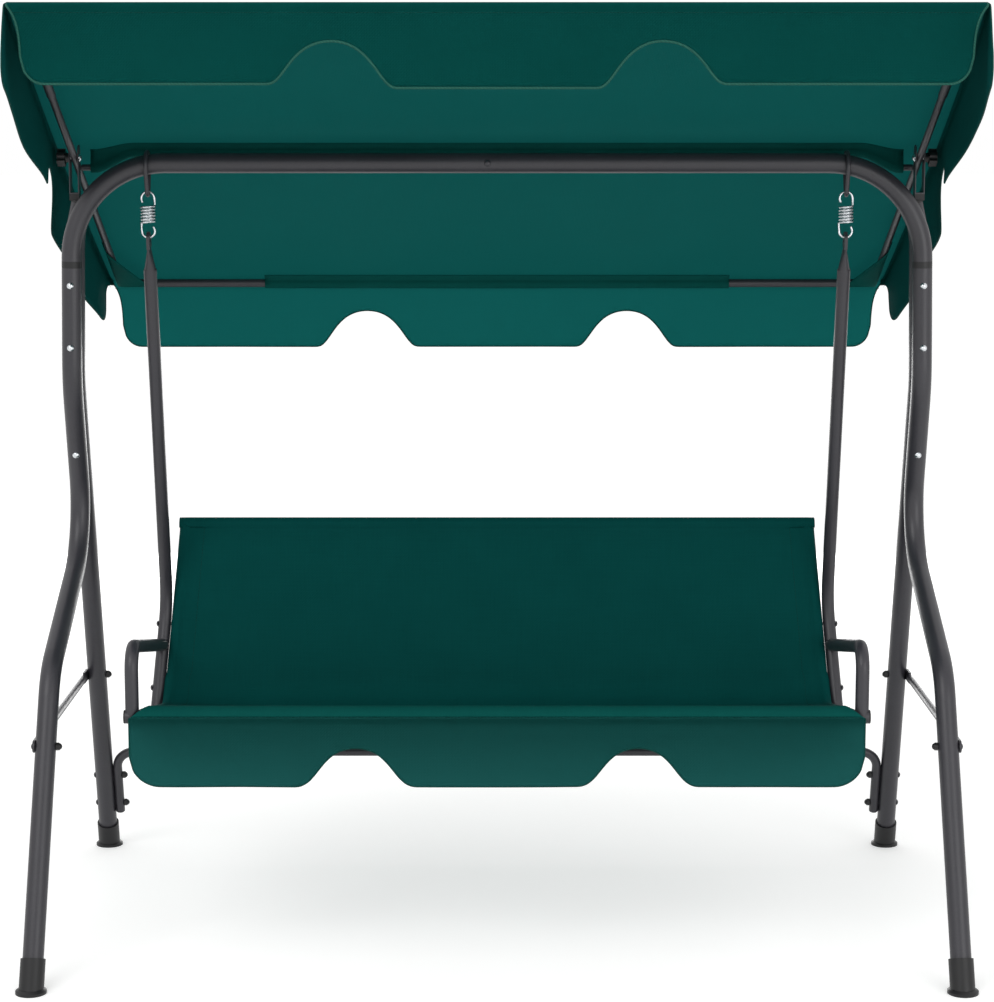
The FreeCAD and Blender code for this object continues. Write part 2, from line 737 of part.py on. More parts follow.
# Springs: one wire runs through the lower hook, the coil and the upper hook.
low_hook_z = hook_bottom_z + hook_radius
high_hook_z = hook_top_z - hook_radius
spring_points = []
for degrees in range(40, -181, -20):
    turn = math.radians(degrees)
    spring_points.append(Vector(hook_radius * math.cos(turn), 0, low_hook_z + hook_radius * math.sin(turn)))
coil_steps = int(coil_turns * 12)
for step in range(coil_steps + 1):
    turn = math.pi + 2 * math.pi * coil_turns * step / coil_steps
    height = coil_bottom_z + (coil_top_z - coil_bottom_z) * step / coil_steps
    spring_points.append(Vector(coil_radius * math.cos(turn), coil_radius * math.sin(turn), height))
for degrees in range(0, 221, 20):
    turn = math.radians(degrees)
    spring_points.append(Vector(hook_radius * math.cos(turn), 0, high_hook_z + hook_radius * math.sin(turn)))
spring_curve = Part.BSplineCurve()
spring_curve.interpolate(spring_points)
spring_path = Part.Wire(spring_curve.toShape())
wire_ring = Part.Wire(Part.makeCircle(spring_wire / 2, spring_points[0], spring_curve.tangent(0)[0]))
spring = spring_path.makePipeShell([wire_ring], True, False)
for name, side in (("right", 1), ("left", -1)):
    placed = spring.copy()
    placed.translate(across * (side * hang_x))
    save("spring_" + name, placed)

# Seat frame, drawn for the right side.
front_bar_centre = Vector(0, front_bar_y, front_bar_z)
seat_corner = Vector(rail_bottom_x, seat_corner_y, seat_corner_z)
rail_front = Vector(rail_bottom_x, front_bar_y, front_bar_z)
back_top = Vector(rail_top_x, back_top_y, back_top_z)
back_run = unit(back_top - seat_corner)
rail_points = [rail_front, seat_corner, back_top]


def front_bar_room(radius):
    return cylinder(front_bar_centre - across * past_everything, across, radius, 2 * past_everything)


def back_bar_room(radius):
    start = Vector(-past_everything, back_top_y, back_top_z)
    return cylinder(start, across, radius, 2 * past_everything)


def trimmed_rail(diameter, wall):
    piece = tube_along(rail_points, (seat_corner_radius,), diameter, wall)
    piece = piece.cut([front_bar_room(seat_radius + joint_gap), back_bar_room(seat_radius + joint_gap)])
    return max(piece.Solids, key=lambda solid: solid.Volume)


seat_rail = trimmed_rail(seat_tube, seat_wall)
front_bar_end = front_bar_centre + across * front_bar_half
front_bar = tube_along([other_side(front_bar_end), front_bar_end], (), seat_tube, seat_wall)
back_bar_end = back_top + across * seat_radius
back_bar = tube_along([other_side(back_bar_end), back_bar_end], (), seat_tube, seat_wall)
save("seat_front_bar", front_bar)
save("back_top_bar", back_bar)


# The hanger lies against the sleeved side rail below its bend.
def beside_rail(z):
    on_rail = point_at_height(seat_corner, back_top, z)
    return on_rail + across * (sleeve_outer + seat_radius + hanger_clear)


hole_top_z = hook_bottom_z + spring_wire / 2 + hanger_hook_gap
hole_z = hole_top_z - hanger_hole / 2
plate_top_z = hole_top_z + hanger_edge
hanger_bend = beside_rail(hanger_bend_z)
hanger_end = beside_rail(hanger_end_z)
hanger_top = Vector(hang_x, 0, hole_z)
slant = unit(hanger_bend - hanger_top)
tube_start = hanger_top + slant * hanger_flatten_end
hanger_points = [tube_start, hanger_bend, hanger_end]
hanger = tube_along(hanger_points, (hanger_bend_radius,), seat_tube, seat_wall)

# The flattened top: a drilled plate that widens into the round tube.
plate_centre = hanger_top + slant * hanger_flatten_start
plate_radius = plate_top_z - hole_z


def oval(centre, half_thick, half_wide):
    ellipse = Part.Ellipse(Vector(0, 0, 0), half_wide, half_thick).toShape()
    ring = Part.Wire(ellipse)
    side = unit(slant.cross(across))
    turned = FreeCAD.Rotation(side, across, slant, "XYZ")
    ring.Placement = FreeCAD.Placement(centre, turned)
    return ring


inside_tube = tube_start + slant * hanger_flat
just_inside = seat_radius - joint_gap
shoulder_loft = Part.makeLoft([oval(plate_centre, hanger_flat / 2, hanger_flat_width / 2),
                               oval(inside_tube, just_inside, just_inside)], True, True)
plate = cylinder(hanger_top - across * (hanger_flat / 2), across, plate_radius, hanger_flat)
edge_way = unit(slant.cross(across))
wide = hanger_flat_width / 2 - 1
tongue = Part.Face(Part.makePolygon([
    hanger_top + edge_way * plate_radius, plate_centre + edge_way * wide, plate_centre - edge_way * wide,
    hanger_top - edge_way * plate_radius, hanger_top + edge_way * plate_radius]))
tongue.translate(across * (-hanger_flat / 2))
tongue = tongue.extrude(across * hanger_flat)
hanger = hanger.fuse([shoulder_loft, plate, tongue])
hanger = hanger.cut(cylinder(Vector(hang_x - 20, 0, hole_z), across, hanger_hole / 2, 40))

# Armrest: from the hanger forwards, then down onto the front bar.
armrest_rear = beside_rail(armrest_rear_z)
armrest_corner = Vector(armrest_x, front_bar_y, armrest_front_z)
armrest_foot = Vector(armrest_x, front_bar_y, front_bar_z)
armrest = tube_along([armrest_rear, armrest_corner, armrest_foot], (armrest_radius,), seat_tube, seat_wall)
hanger_room = rod_along(hanger_points, (hanger_bend_radius,), seat_tube + 2 * joint_gap)
armrest = armrest.cut([hanger_room, front_bar_room(seat_radius + joint_gap)])
armrest = max(armrest.Solids, key=lambda solid: solid.Volume)
save_pair("armrest", armrest)

# A cross bar behind the seat's rear corner stiffens the side rails.
behind_back = Vector(0, back_run.z, -back_run.y)
rear_bar_end = seat_corner + back_run * rear_bar_rise + behind_back * rear_bar_setback
rear_bar_centre = Vector(0, rear_bar_end.y, rear_bar_end.z)
rear_bar = tube_along([other_side(rear_bar_end), rear_bar_end], (), rear_bar_tube, seat_wall)
rail_room = rod_along(rail_points, (seat_corner_radius,), seat_tube + 2 * joint_gap)
rear_bar = rear_bar.cut([rail_room, mirrored(rail_room)])
rear_bar = max(rear_bar.Solids, key=lambda solid: solid.Volume)
save("seat_rear_bar", rear_bar)

# Sling: sleeves around the rails and bars, and a sheet between them.
def sling_profile(low, high):
    flat_front = Vector(0, front_bar_y, front_bar_z)
    flat_corner = Vector(0, seat_corner_y, seat_corner_z)
    flat_top = Vector(0, back_top_y, back_top_z)
    run_seat = unit(flat_corner - flat_front)
    run_back = unit(flat_top - flat_corner)
    seat_up = Vector(0, -run_seat.z, run_seat.y)
    back_up = Vector(0, -run_back.z, run_back.y)
    half_turn = run_seat.getAngle(run_back) / 2
    corner_up = unit(seat_up + back_up)
    lines = []
    for offset in (low, high):
        corner = flat_corner + corner_up * (offset / math.cos(half_turn))
        points = [flat_front + seat_up * offset, corner, flat_top + back_up * offset]
        lines.append(bent_path(points, (seat_corner_radius - offset,)))
    inner, outer = lines
    ends = [Part.LineSegment(inner.OrderedVertexes[at].Point, outer.OrderedVertexes[at].Point).toShape()
            for at in (0, -1)]
    return Part.Face(Part.Wire(Part.__sortEdges__(inner.Edges + outer.Edges + ends)))


sheet = sling_profile(sling_offset - sling / 2, sling_offset + sling / 2)
sheet.translate(across * -rail_bottom_x)
sheet = sheet.extrude(across * (2 * rail_bottom_x))
side_sleeve = rod_along(rail_points, (seat_corner_radius,), 2 * sleeve_outer)
front_sleeve = cylinder(front_bar_centre - across * front_sleeve_half, across, bar_sleeve_outer,
                        2 * front_sleeve_half)
back_sleeve_half = rail_top_x + sleeve_outer
back_sleeve = cylinder(Vector(-back_sleeve_half, back_top_y, back_top_z), across, bar_sleeve_outer,
                       2 * back_sleeve_half)

# The sheet narrows with the rails: whatever lies outside the back's rails is cut off.
past_top = back_top + (back_top - seat_corner) * 0.3
aside = across * 2 * taper_room
taper_face = Part.Face(Part.makePolygon([seat_corner, past_top, past_top + aside, seat_corner + aside,
                                         seat_corner]))
taper_face.translate(backward * -taper_room)
outside = taper_face.extrude(backward * 2 * taper_room)
sheet = sheet.cut([outside, mirrored(outside)])
soft = sheet.fuse([side_sleeve, mirrored(side_sleeve), front_sleeve, back_sleeve])
rail_core = rod_along(rail_points, (seat_corner_radius,), 2 * sleeve_inner)
soft = soft.cut([rail_core, mirrored(rail_core), front_bar_room(bar_sleeve_inner),
                 back_bar_room(bar_sleeve_inner)])
end_room = cylinder(Vector(front_sleeve_half, front_bar_y, front_bar_z), across, sleeve_outer + 8, 100)
rear_bar_window = cylinder(rear_bar_centre - across * past_everything, across,
                           rear_bar_tube / 2 + window_clear, 2 * past_everything)
soft = soft.cut([end_room, mirrored(end_room), rear_bar_window])

# Bolts join each hanger to its side rail through the sleeve.
hanger_bolts = []
hanger_nuts = []
for height in hanger_bolt_heights:
    bolt_start = beside_rail(height) + across * (seat_radius + head_seat)
    reach = 2 * seat_tube + sleeve_outer - seat_radius + hanger_clear + 2 * head_seat
    hanger_bolts.append(screw(bolt_start, across * -1, reach + cap_nut_height))
    hanger_nuts.append(cap_nut(bolt_start - across * reach, across * -1))
    hole = screw_hole(bolt_start + across * 5, across * -1, reach + 20)
    room = cylinder(bolt_start + across * 5, across * -1, cap_nut_flats / 2 + 2, reach + 20)
    hanger = hanger.cut(hole)
    seat_rail = seat_rail.cut(hole)
    soft = soft.cut([room, mirrored(room)])
soft = max(soft.Solids, key=lambda solid: solid.Volume)
save("seat_sling", soft)
save_pair("hanger", hanger)
save_pair("seat_rail", seat_rail)
save_both_sides("hanger_bolts", hanger_bolts)
save_both_sides("hanger_cap_nuts", hanger_nuts)

# The seat's front valance hangs from the front roll.
seat_valance = valance_panel(seat_valance_half, seat_valance_half, valance_top_z - seat_valance_bottom,
                             valance_corner, (-seat_notch_x, seat_notch_x), seat_notch_half_foot,
                             seat_notch_half_top, seat_notch_depth, sling)
seat_valance.translate(Vector(0, front_bar_y - bar_sleeve_outer - sling - sleeve_clear, valance_top_z))
save("seat_valance", seat_valance)

# Plugs close the open ends of the front bar and the lower ends of the hangers.
def end_plug(tube_end, outward):
    head = cylinder(tube_end, outward, seat_radius, plug_head)
    return head.fuse(cylinder(tube_end, outward * -1, seat_radius - seat_wall - push_fit, plug_length))


save_both_sides("seat_end_plugs", [end_plug(front_bar_end, across),
                                   end_plug(hanger_end, unit(hanger_end - hanger_bend))])
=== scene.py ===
import math
import bmesh
import bpy
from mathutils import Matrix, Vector, noise


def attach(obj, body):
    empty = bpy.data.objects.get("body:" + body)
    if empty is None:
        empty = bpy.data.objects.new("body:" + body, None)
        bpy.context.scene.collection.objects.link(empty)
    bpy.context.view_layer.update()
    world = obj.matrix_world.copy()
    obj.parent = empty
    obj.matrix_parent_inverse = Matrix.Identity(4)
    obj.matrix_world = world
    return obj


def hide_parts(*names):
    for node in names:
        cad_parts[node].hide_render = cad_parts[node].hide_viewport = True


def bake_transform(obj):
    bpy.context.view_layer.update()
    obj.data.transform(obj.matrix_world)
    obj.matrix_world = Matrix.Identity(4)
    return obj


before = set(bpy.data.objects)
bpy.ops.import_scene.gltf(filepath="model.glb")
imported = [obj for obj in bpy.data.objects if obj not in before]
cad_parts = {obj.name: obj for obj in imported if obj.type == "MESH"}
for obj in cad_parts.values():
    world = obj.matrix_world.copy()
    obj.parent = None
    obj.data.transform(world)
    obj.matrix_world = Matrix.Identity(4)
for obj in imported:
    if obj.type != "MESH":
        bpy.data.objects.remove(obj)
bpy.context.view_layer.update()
scene = bpy.context.scene
print("frame loaded:", len(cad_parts), "nodes")

# Metres. The front faces -Y, right is +X and the floor is z = 0.


def srgb(code):
    channels = [int(code[i:i + 2], 16) / 255 for i in (1, 3, 5)]
    return tuple(c / 12.92 if c <= 0.04045 else ((c + 0.055) / 1.055) ** 2.4 for c in channels) + (1.0,)


# Adds a node: inputs take a value or another node's output, the rest are the node's own settings.
def addNode(tree, kind, inputs=None, **settings):
    node = tree.nodes.new(kind)
    for key, value in settings.items():
        setattr(node, key, value)
    for socket, value in (inputs or {}).items():
        if isinstance(value, bpy.types.NodeSocket):
            tree.links.new(value, node.inputs[socket])
        else:
            node.inputs[socket].default_value = value
    return node


def newMaterial(name):
    material = bpy.data.materials.new(name)
    material.use_nodes = True
    material.node_tree.nodes.clear()
    return material, material.node_tree


steelFinish = {"dark": "#26252a", "light": "#333238", "peel": 0.0026, "cloud": 0.09}
zincFinish = {"dull": "#aeb3b8", "bright": "#d6d9dc", "spangle": 0.004, "haze": 0.012}
plasticFinish = {"dark": "#0e0e0f", "light": "#1a1a1c", "mould": 0.0018, "scuff": 0.03}
clothFinish = {"thread": 0.0027, "slub": (0.085, 0.0032), "crumpleAndShade": 0.11, "wear": 0.02}


# Charcoal powder coat, baked on steel tube: a semi-gloss skin with a fine orange peel and soft clouding.
def makePowderCoat():
    material, tree = newMaterial("powderCoatedSteel")
    place = addNode(tree, "ShaderNodeTexCoord").outputs["Object"]
    cloud = addNode(tree, "ShaderNodeTexNoise",
                    {"Vector": place, "Scale": 1 / steelFinish["cloud"], "Detail": 4.0})
    # the real peel is about 1 mm; drawn coarser so that it shows
    peel = addNode(tree, "ShaderNodeTexNoise",
                   {"Vector": place, "Scale": 1 / steelFinish["peel"], "Detail": 2.0})
    tone = addNode(tree, "ShaderNodeMapRange", {"Value": peel.outputs["Fac"], "From Min": 0.3,
                                                "From Max": 0.7, "To Min": -0.22, "To Max": 0.22})
    blotch = addNode(tree, "ShaderNodeMath", {0: cloud.outputs["Fac"], 1: tone.outputs["Result"]},
                     operation="ADD")
    colour = addNode(tree, "ShaderNodeMix", {"Factor": blotch.outputs[0], "A": srgb(steelFinish["dark"]),
                                             "B": srgb(steelFinish["light"])}, data_type="RGBA")
    rough = addNode(tree, "ShaderNodeMapRange", {"Value": blotch.outputs[0], "To Min": 0.34, "To Max": 0.47})
    bump = addNode(tree, "ShaderNodeBump",
                   {"Height": peel.outputs["Fac"], "Strength": 0.16, "Distance": 0.0004})
    shader = addNode(tree, "ShaderNodeBsdfPrincipled", {
        "Base Color": colour.outputs["Result"], "Roughness": rough.outputs["Result"], "IOR": 1.5,
        "Normal": bump.outputs["Normal"]})
    addNode(tree, "ShaderNodeOutputMaterial", {"Surface": shader.outputs["BSDF"]})
    return material


# Zinc-plated spring steel and screws: bright, slightly blue, with small dull spangles.
def makeZinc():
    material, tree = newMaterial("zincPlatedSteel")
    place = addNode(tree, "ShaderNodeTexCoord").outputs["Object"]
    spangle = addNode(tree, "ShaderNodeTexVoronoi", {"Vector": place, "Scale": 1 / zincFinish["spangle"]})
    haze = addNode(tree, "ShaderNodeTexNoise",
                   {"Vector": place, "Scale": 1 / zincFinish["haze"], "Detail": 5.0})
    mixed = addNode(tree, "ShaderNodeMath", {0: spangle.outputs["Distance"], 1: haze.outputs["Fac"]},
                    operation="MULTIPLY")
    colour = addNode(tree, "ShaderNodeMix", {"Factor": mixed.outputs[0], "A": srgb(zincFinish["bright"]),
                                             "B": srgb(zincFinish["dull"])}, data_type="RGBA")
    rough = addNode(tree, "ShaderNodeMapRange",
                    {"Value": haze.outputs["Fac"], "To Min": 0.18, "To Max": 0.36})
    bump = addNode(tree, "ShaderNodeBump",
                   {"Height": haze.outputs["Fac"], "Strength": 0.08, "Distance": 0.0003})
    shader = addNode(tree, "ShaderNodeBsdfPrincipled", {
        "Base Color": colour.outputs["Result"], "Metallic": 1.0, "Roughness": rough.outputs["Result"],
        "Normal": bump.outputs["Normal"]})
    addNode(tree, "ShaderNodeOutputMaterial", {"Surface": shader.outputs["BSDF"]})
    return material


# Moulded black polyethylene: satin, with the fine spark grain of the mould.
def makePlastic():
    material, tree = newMaterial("mouldedPolyethylene")
    place = addNode(tree, "ShaderNodeTexCoord").outputs["Object"]
    grain = addNode(tree, "ShaderNodeTexNoise",
                    {"Vector": place, "Scale": 1 / plasticFinish["mould"], "Detail": 3.0})
    scuff = addNode(tree, "ShaderNodeTexNoise",
                    {"Vector": place, "Scale": 1 / plasticFinish["scuff"], "Detail": 6.0})
    colour = addNode(tree, "ShaderNodeMix", {"Factor": scuff.outputs["Fac"], "A": srgb(plasticFinish["dark"]),
                                             "B": srgb(plasticFinish["light"])}, data_type="RGBA")
    rough = addNode(tree, "ShaderNodeMapRange",
                    {"Value": scuff.outputs["Fac"], "To Min": 0.36, "To Max": 0.58})
    bump = addNode(tree, "ShaderNodeBump",
                   {"Height": grain.outputs["Fac"], "Strength": 0.2, "Distance": 0.0003})
    shader = addNode(tree, "ShaderNodeBsdfPrincipled", {
        "Base Color": colour.outputs["Result"], "Roughness": rough.outputs["Result"], "IOR": 1.5,
        "Specular IOR Level": 0.4, "Normal": bump.outputs["Normal"]})
    addNode(tree, "ShaderNodeOutputMaterial", {"Surface": shader.outputs["BSDF"]})
    return material


# Dyed polyester in plain weave: matt threads with a faint fuzz, and light from behind comes through.
# A sheet has two faces, so the light that comes through is coloured twice.
def makeCloth(name, warpCode, weftCode, glowCode, through):
    material, tree = newMaterial(name)
    flat = addNode(tree, "ShaderNodeUVMap", uv_map="clothUV").outputs["UV"]
    # the real threads are 0.4 mm apart; drawn 2.7 mm apart so that they show
    thread = clothFinish["thread"]
    waveScale = 2 * math.pi / 20 / thread
    warp = addNode(tree, "ShaderNodeTexWave", {"Vector": flat, "Scale": waveScale}, bands_direction="X")
    weft = addNode(tree, "ShaderNodeTexWave", {"Vector": flat, "Scale": waveScale}, bands_direction="Y")
    over = addNode(tree, "ShaderNodeTexChecker", {"Vector": flat, "Scale": 1 / thread})
    height = addNode(tree, "ShaderNodeMix", {"Factor": over.outputs["Fac"], "A": warp.outputs["Fac"],
                                             "B": weft.outputs["Fac"]})
    # thicker stretches of yarn run both ways
    long, fine = clothFinish["slub"]
    slubs = []
    for scale in ((1 / fine, 1 / long, 1), (1 / long, 1 / fine, 1)):
        spread = addNode(tree, "ShaderNodeMapping", {"Vector": flat, "Scale": scale})
        slubs.append(addNode(tree, "ShaderNodeTexNoise", {"Vector": spread.outputs["Vector"], "Scale": 1.0,
                                                          "Detail": 2.0}).outputs["Fac"])
    slub = addNode(tree, "ShaderNodeMath", {0: slubs[0], 1: slubs[1]}, operation="ADD")
    crumpleAndShade = addNode(tree, "ShaderNodeTexNoise", {"Vector": flat, "Scale": 1 / clothFinish["crumpleAndShade"],
                                                   "Detail": 3.0, "Roughness": 0.45})
    # the colour follows the slubs, the yarn's own tone, and also the crumples' relief, lighter where it rises
    # and darker in its hollows: painted shade
    shade = addNode(tree, "ShaderNodeMath", {0: slub.outputs[0], 1: 0.5, 2: -0.25}, operation="MULTIPLY_ADD")
    shade = addNode(tree, "ShaderNodeMath", {0: height.outputs["Result"], 1: 0.25, 2: shade.outputs[0]},
                    operation="MULTIPLY_ADD")
    shade = addNode(tree, "ShaderNodeMath", {0: crumpleAndShade.outputs["Fac"], 1: 0.5, 2: shade.outputs[0]},
                    operation="MULTIPLY_ADD")
    colour = addNode(tree, "ShaderNodeMix",
                     {"Factor": shade.outputs[0], "A": srgb(warpCode), "B": srgb(weftCode)}, data_type="RGBA")
    relief = addNode(tree, "ShaderNodeMath", {0: crumpleAndShade.outputs["Fac"], 1: 6.0, 2: height.outputs["Result"]},
                     operation="MULTIPLY_ADD")
    bump = addNode(tree, "ShaderNodeBump", {"Height": relief.outputs[0], "Strength": 0.3, "Distance": 0.0006})
    rough = addNode(tree, "ShaderNodeMapRange", {"Value": shade.outputs[0], "To Min": 0.86, "To Max": 0.7})
    shader = addNode(tree, "ShaderNodeBsdfPrincipled", {
        "Base Color": colour.outputs["Result"], "Roughness": rough.outputs["Result"],
        "Specular IOR Level": 0.04, "Sheen Weight": 0.012, "Sheen Roughness": 0.45,
        "Sheen Tint": srgb("#4fa59c"), "Normal": bump.outputs["Normal"]})
    glow = addNode(tree, "ShaderNodeMix",
                   {"Factor": 0.85, "A": colour.outputs["Result"], "B": srgb(glowCode)}, data_type="RGBA")
    behind = addNode(tree, "ShaderNodeBsdfTranslucent", {"Color": glow.outputs["Result"],
                                                         "Normal": bump.outputs["Normal"]})
    cloth = addNode(tree, "ShaderNodeMixShader",
                    {0: through, 1: shader.outputs["BSDF"], 2: behind.outputs["BSDF"]})
    addNode(tree, "ShaderNodeOutputMaterial", {"Surface": cloth.outputs["Shader"]})
    return material


# Bias-cut binding tape and sewing thread: the same yarn, lighter, with a rib across the run.
def makeYarn(name, darkCode, lightCode, rib):
    material, tree = newMaterial(name)
    place = addNode(tree, "ShaderNodeTexCoord").outputs["Object"]
    ribs = addNode(tree, "ShaderNodeTexWave", {"Vector": place, "Scale": 2 * math.pi / 20 / rib,
                                               "Distortion": 1.5, "Detail": 1.0}, bands_direction="DIAGONAL")
    wear = addNode(tree, "ShaderNodeTexNoise",
                   {"Vector": place, "Scale": 1 / clothFinish["wear"], "Detail": 3.0})
    shade = addNode(tree, "ShaderNodeMath", {0: ribs.outputs["Fac"], 1: wear.outputs["Fac"]},
                    operation="MULTIPLY")
    colour = addNode(tree, "ShaderNodeMix",
                     {"Factor": shade.outputs[0], "A": srgb(darkCode), "B": srgb(lightCode)},
                     data_type="RGBA")
    rough = addNode(tree, "ShaderNodeMapRange",
                    {"Value": wear.outputs["Fac"], "To Min": 0.65, "To Max": 0.85})
    bump = addNode(tree, "ShaderNodeBump",
                   {"Height": ribs.outputs["Fac"], "Strength": 0.25, "Distance": 0.0004})
    shader = addNode(tree, "ShaderNodeBsdfPrincipled", {
        "Base Color": colour.outputs["Result"], "Roughness": rough.outputs["Result"],
        "Specular IOR Level": 0.1, "Sheen Weight": 0.02, "Normal": bump.outputs["Normal"]})
    addNode(tree, "ShaderNodeOutputMaterial", {"Surface": shader.outputs["BSDF"]})
    return material


powderCoat = makePowderCoat()
zinc = makeZinc()
plastic = makePlastic()
# The canopy's top and cross valances are thin and glow against the light.
thinCloth = makeCloth("canopyPolyester", "#02423d", "#05504b", "#5fb9b7", 0.5)
# The seat's valance: its colour is painted darker than the canopy's cloth, a painted shade over its front; it
# is paler where light falls on its back and comes through.
valanceClothPaintedShade = makeCloth("valancePolyesterPaintedShade", "#022e2b", "#043935", "#8fd8d6", 0.45)
# The sling and the side valances are woven close and keep the light out.
denseCloth = makeCloth("densePolyester", "#023f3d", "#054d4a", "#0c7470", 0.2)
# Pockets, tunnels and the front roll lie double, so little light comes through; their colour is painted paler
# than the cloth's own, as painted light on the roll and on the shaded pockets and tunnels.
sleeveClothPaintedLight = makeCloth("sleevePolyesterPaintedLight", "#064642", "#0a554f", "#2c9a94", 0.2)
bindingTape = makeYarn("bindingTape", "#1f4e44", "#30695c", 0.003)
sewingThread = makeYarn("sewingThread", "#04352f", "#0a4a42", 0.0012)

zincNodes = ("leg_screws", "leg_nuts", "pivot_bolt_left", "pivot_bolt_right")
plasticNodes = ("front_foot_cap_left", "front_foot_cap_right", "rear_foot_cap_left", "rear_foot_cap_right",
                "leg_collars", "brace_cap_nuts", "cross_bar_cap_nuts", "hanger_cap_nuts", "canopy_knob_left",
                "canopy_knob_right", "seat_end_plugs", "post_caps")
for name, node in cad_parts.items():
    finish = zinc if name in zincNodes else plastic if name in plasticNodes else powderCoat
    for place in node.material_slots:
        place.material = finish
print("finishes made and put on the frame's nodes")


def addPiece(name, points, faces, material, flat=None, second=None, secondFaces=()):
    mesh = bpy.data.meshes.new(name)
    mesh.from_pydata([tuple(p) for p in points], [], faces)
    mesh.materials.append(material)
    mesh.polygons.foreach_set("use_smooth", [True] * len(mesh.polygons))
    if flat:
        layer = mesh.uv_layers.new(name="clothUV")
        for loop in mesh.loops:
            layer.data[loop.index].uv = flat[loop.vertex_index]
    if second:
        mesh.materials.append(second)
        for number in secondFaces:
            mesh.polygons[number].material_index = 1
    mesh.update()
    piece = bpy.data.objects.new(name, mesh)
    scene.collection.objects.link(piece)
    return piece


def thicken(piece, thickness):
    wall = piece.modifiers.new("clothThickness", "SOLIDIFY")
    wall.thickness = thickness
    wall.offset = 0
    wall.use_even_offset = False


# Places between start and end, close together inside the zones.
def stations(start, end, zones, fine, coarse):
    borders = sorted({start, end} | {min(max(b, start), end) for zone in zones for b in zone})
    marks = []
    for low, high in zip(borders, borders[1:]):
        middle = (low + high) / 2
        step = fine if any(a < middle < b for a, b in zones) else coarse
        count = max(1, round((high - low) / step))
        marks += [low + (high - low) * i / count for i in range(count)]
    return marks + [end]


# How far a notch's edge has risen at this distance from its middle: a bell, level at foot and peak.
def notchRise(distance, notch):
    if distance >= notch["halfFoot"]:
        return 0.0
    along = 1 - distance / notch["halfFoot"]
    near, far = notch["footHandle"], 1 - notch["peakHandle"]
    low, high = 0.0, 1.0
    for _ in range(30):
        t = (low + high) / 2
        x = 3 * (1 - t) ** 2 * t * near + 3 * (1 - t) * t * t * far + t ** 3
        low, high = (t, high) if x < along else (low, t)
    return notch["depth"] * (3 * (1 - t) * t * t + t ** 3)


# Depth of a hanging panel at a place along it: rounded ends and notches in the lower edge.
def hemDepth(place, low, high, drop, corners, notch):
    depth = drop
    for edge, corner in zip((place - low, high - place), corners):
        if edge < corner:
            depth -= corner - math.sqrt(corner ** 2 - (corner - max(0.0, edge)) ** 2)
    return depth - sum(notchRise(abs(place - middle), notch) for middle in notch["places"])


# Quads between each row of points and the next.
def bridge(faces, *rows):
    for near, far in zip(rows, rows[1:]):
        for i in range(len(near) - 1):
            faces.append((near[i], near[i + 1], far[i + 1], far[i]))


# Geometry Nodes trees for binding and stitches start from a path with even steps; the first size is the step.
def newTree(name, sizes):
    tree = bpy.data.node_groups.new(name, "GeometryNodeTree")
    tree.interface.new_socket("Path", in_out="INPUT", socket_type="NodeSocketGeometry")
    for size in sizes:
        tree.interface.new_socket(size, in_out="INPUT", socket_type="NodeSocketFloat")
    tree.interface.new_socket("Finish", in_out="INPUT", socket_type="NodeSocketMaterial")
    tree.interface.new_socket("Geometry", in_out="OUTPUT", socket_type="NodeSocketGeometry")
    given = addNode(tree, "NodeGroupInput").outputs
    curve = addNode(tree, "GeometryNodeMeshToCurve", {"Mesh": given["Path"]})
    even = addNode(tree, "GeometryNodeResampleCurve",
                   {"Curve": curve.outputs["Curve"], "Length": given[sizes[0]]}, mode="LENGTH")
    return tree, given, even.outputs["Curve"]


# They end as plain geometry that wears the finish.
def endTree(tree, given, made):
    whole = addNode(tree, "GeometryNodeRealizeInstances", {"Geometry": made})
    painted = addNode(tree, "GeometryNodeSetMaterial", {"Geometry": whole.outputs["Geometry"],
                                                        "Material": given["Finish"]})
    addNode(tree, "NodeGroupOutput", {"Geometry": painted.outputs["Geometry"]})
    return tree


# A round cord of tape along each path.
def makeBindingTree():
    tree, given, path = newTree("edgeBinding", ("Step", "Radius"))
    ring = addNode(tree, "GeometryNodeCurvePrimitiveCircle", {"Resolution": 8, "Radius": given["Radius"]})
    tube = addNode(tree, "GeometryNodeCurveToMesh", {"Curve": path, "Profile Curve": ring.outputs["Curve"],
                                                     "Fill Caps": True})
    return endTree(tree, given, tube.outputs["Mesh"])


# Short rounded stitches, one after another along each path.
def makeStitchTree():
    tree, given, path = newTree("stitchRow", ("Spacing", "Length", "Thickness"))
    tangent = addNode(tree, "GeometryNodeInputTangent")
    turned = addNode(tree, "FunctionNodeAlignRotationToVector", {"Vector": tangent.outputs["Tangent"]},
                     axis="X")
    size = addNode(tree, "ShaderNodeCombineXYZ", {"X": given["Length"], "Y": given["Thickness"],
                                                  "Z": given["Thickness"]})
    stitch = addNode(tree, "GeometryNodeMeshUVSphere", {"Segments": 6, "Rings": 5, "Radius": 0.5})
    row = addNode(tree, "GeometryNodeInstanceOnPoints", {
        "Points": path, "Instance": stitch.outputs["Mesh"], "Rotation": turned.outputs["Rotation"],
        "Scale": size.outputs["Vector"]})
    return endTree(tree, given, row.outputs["Instances"])


bindingTree = makeBindingTree()
stitchTree = makeStitchTree()
stitch = {"Spacing": 0.006, "Length": 0.0044, "Thickness": 0.0011}
stitchLift = 0.0002


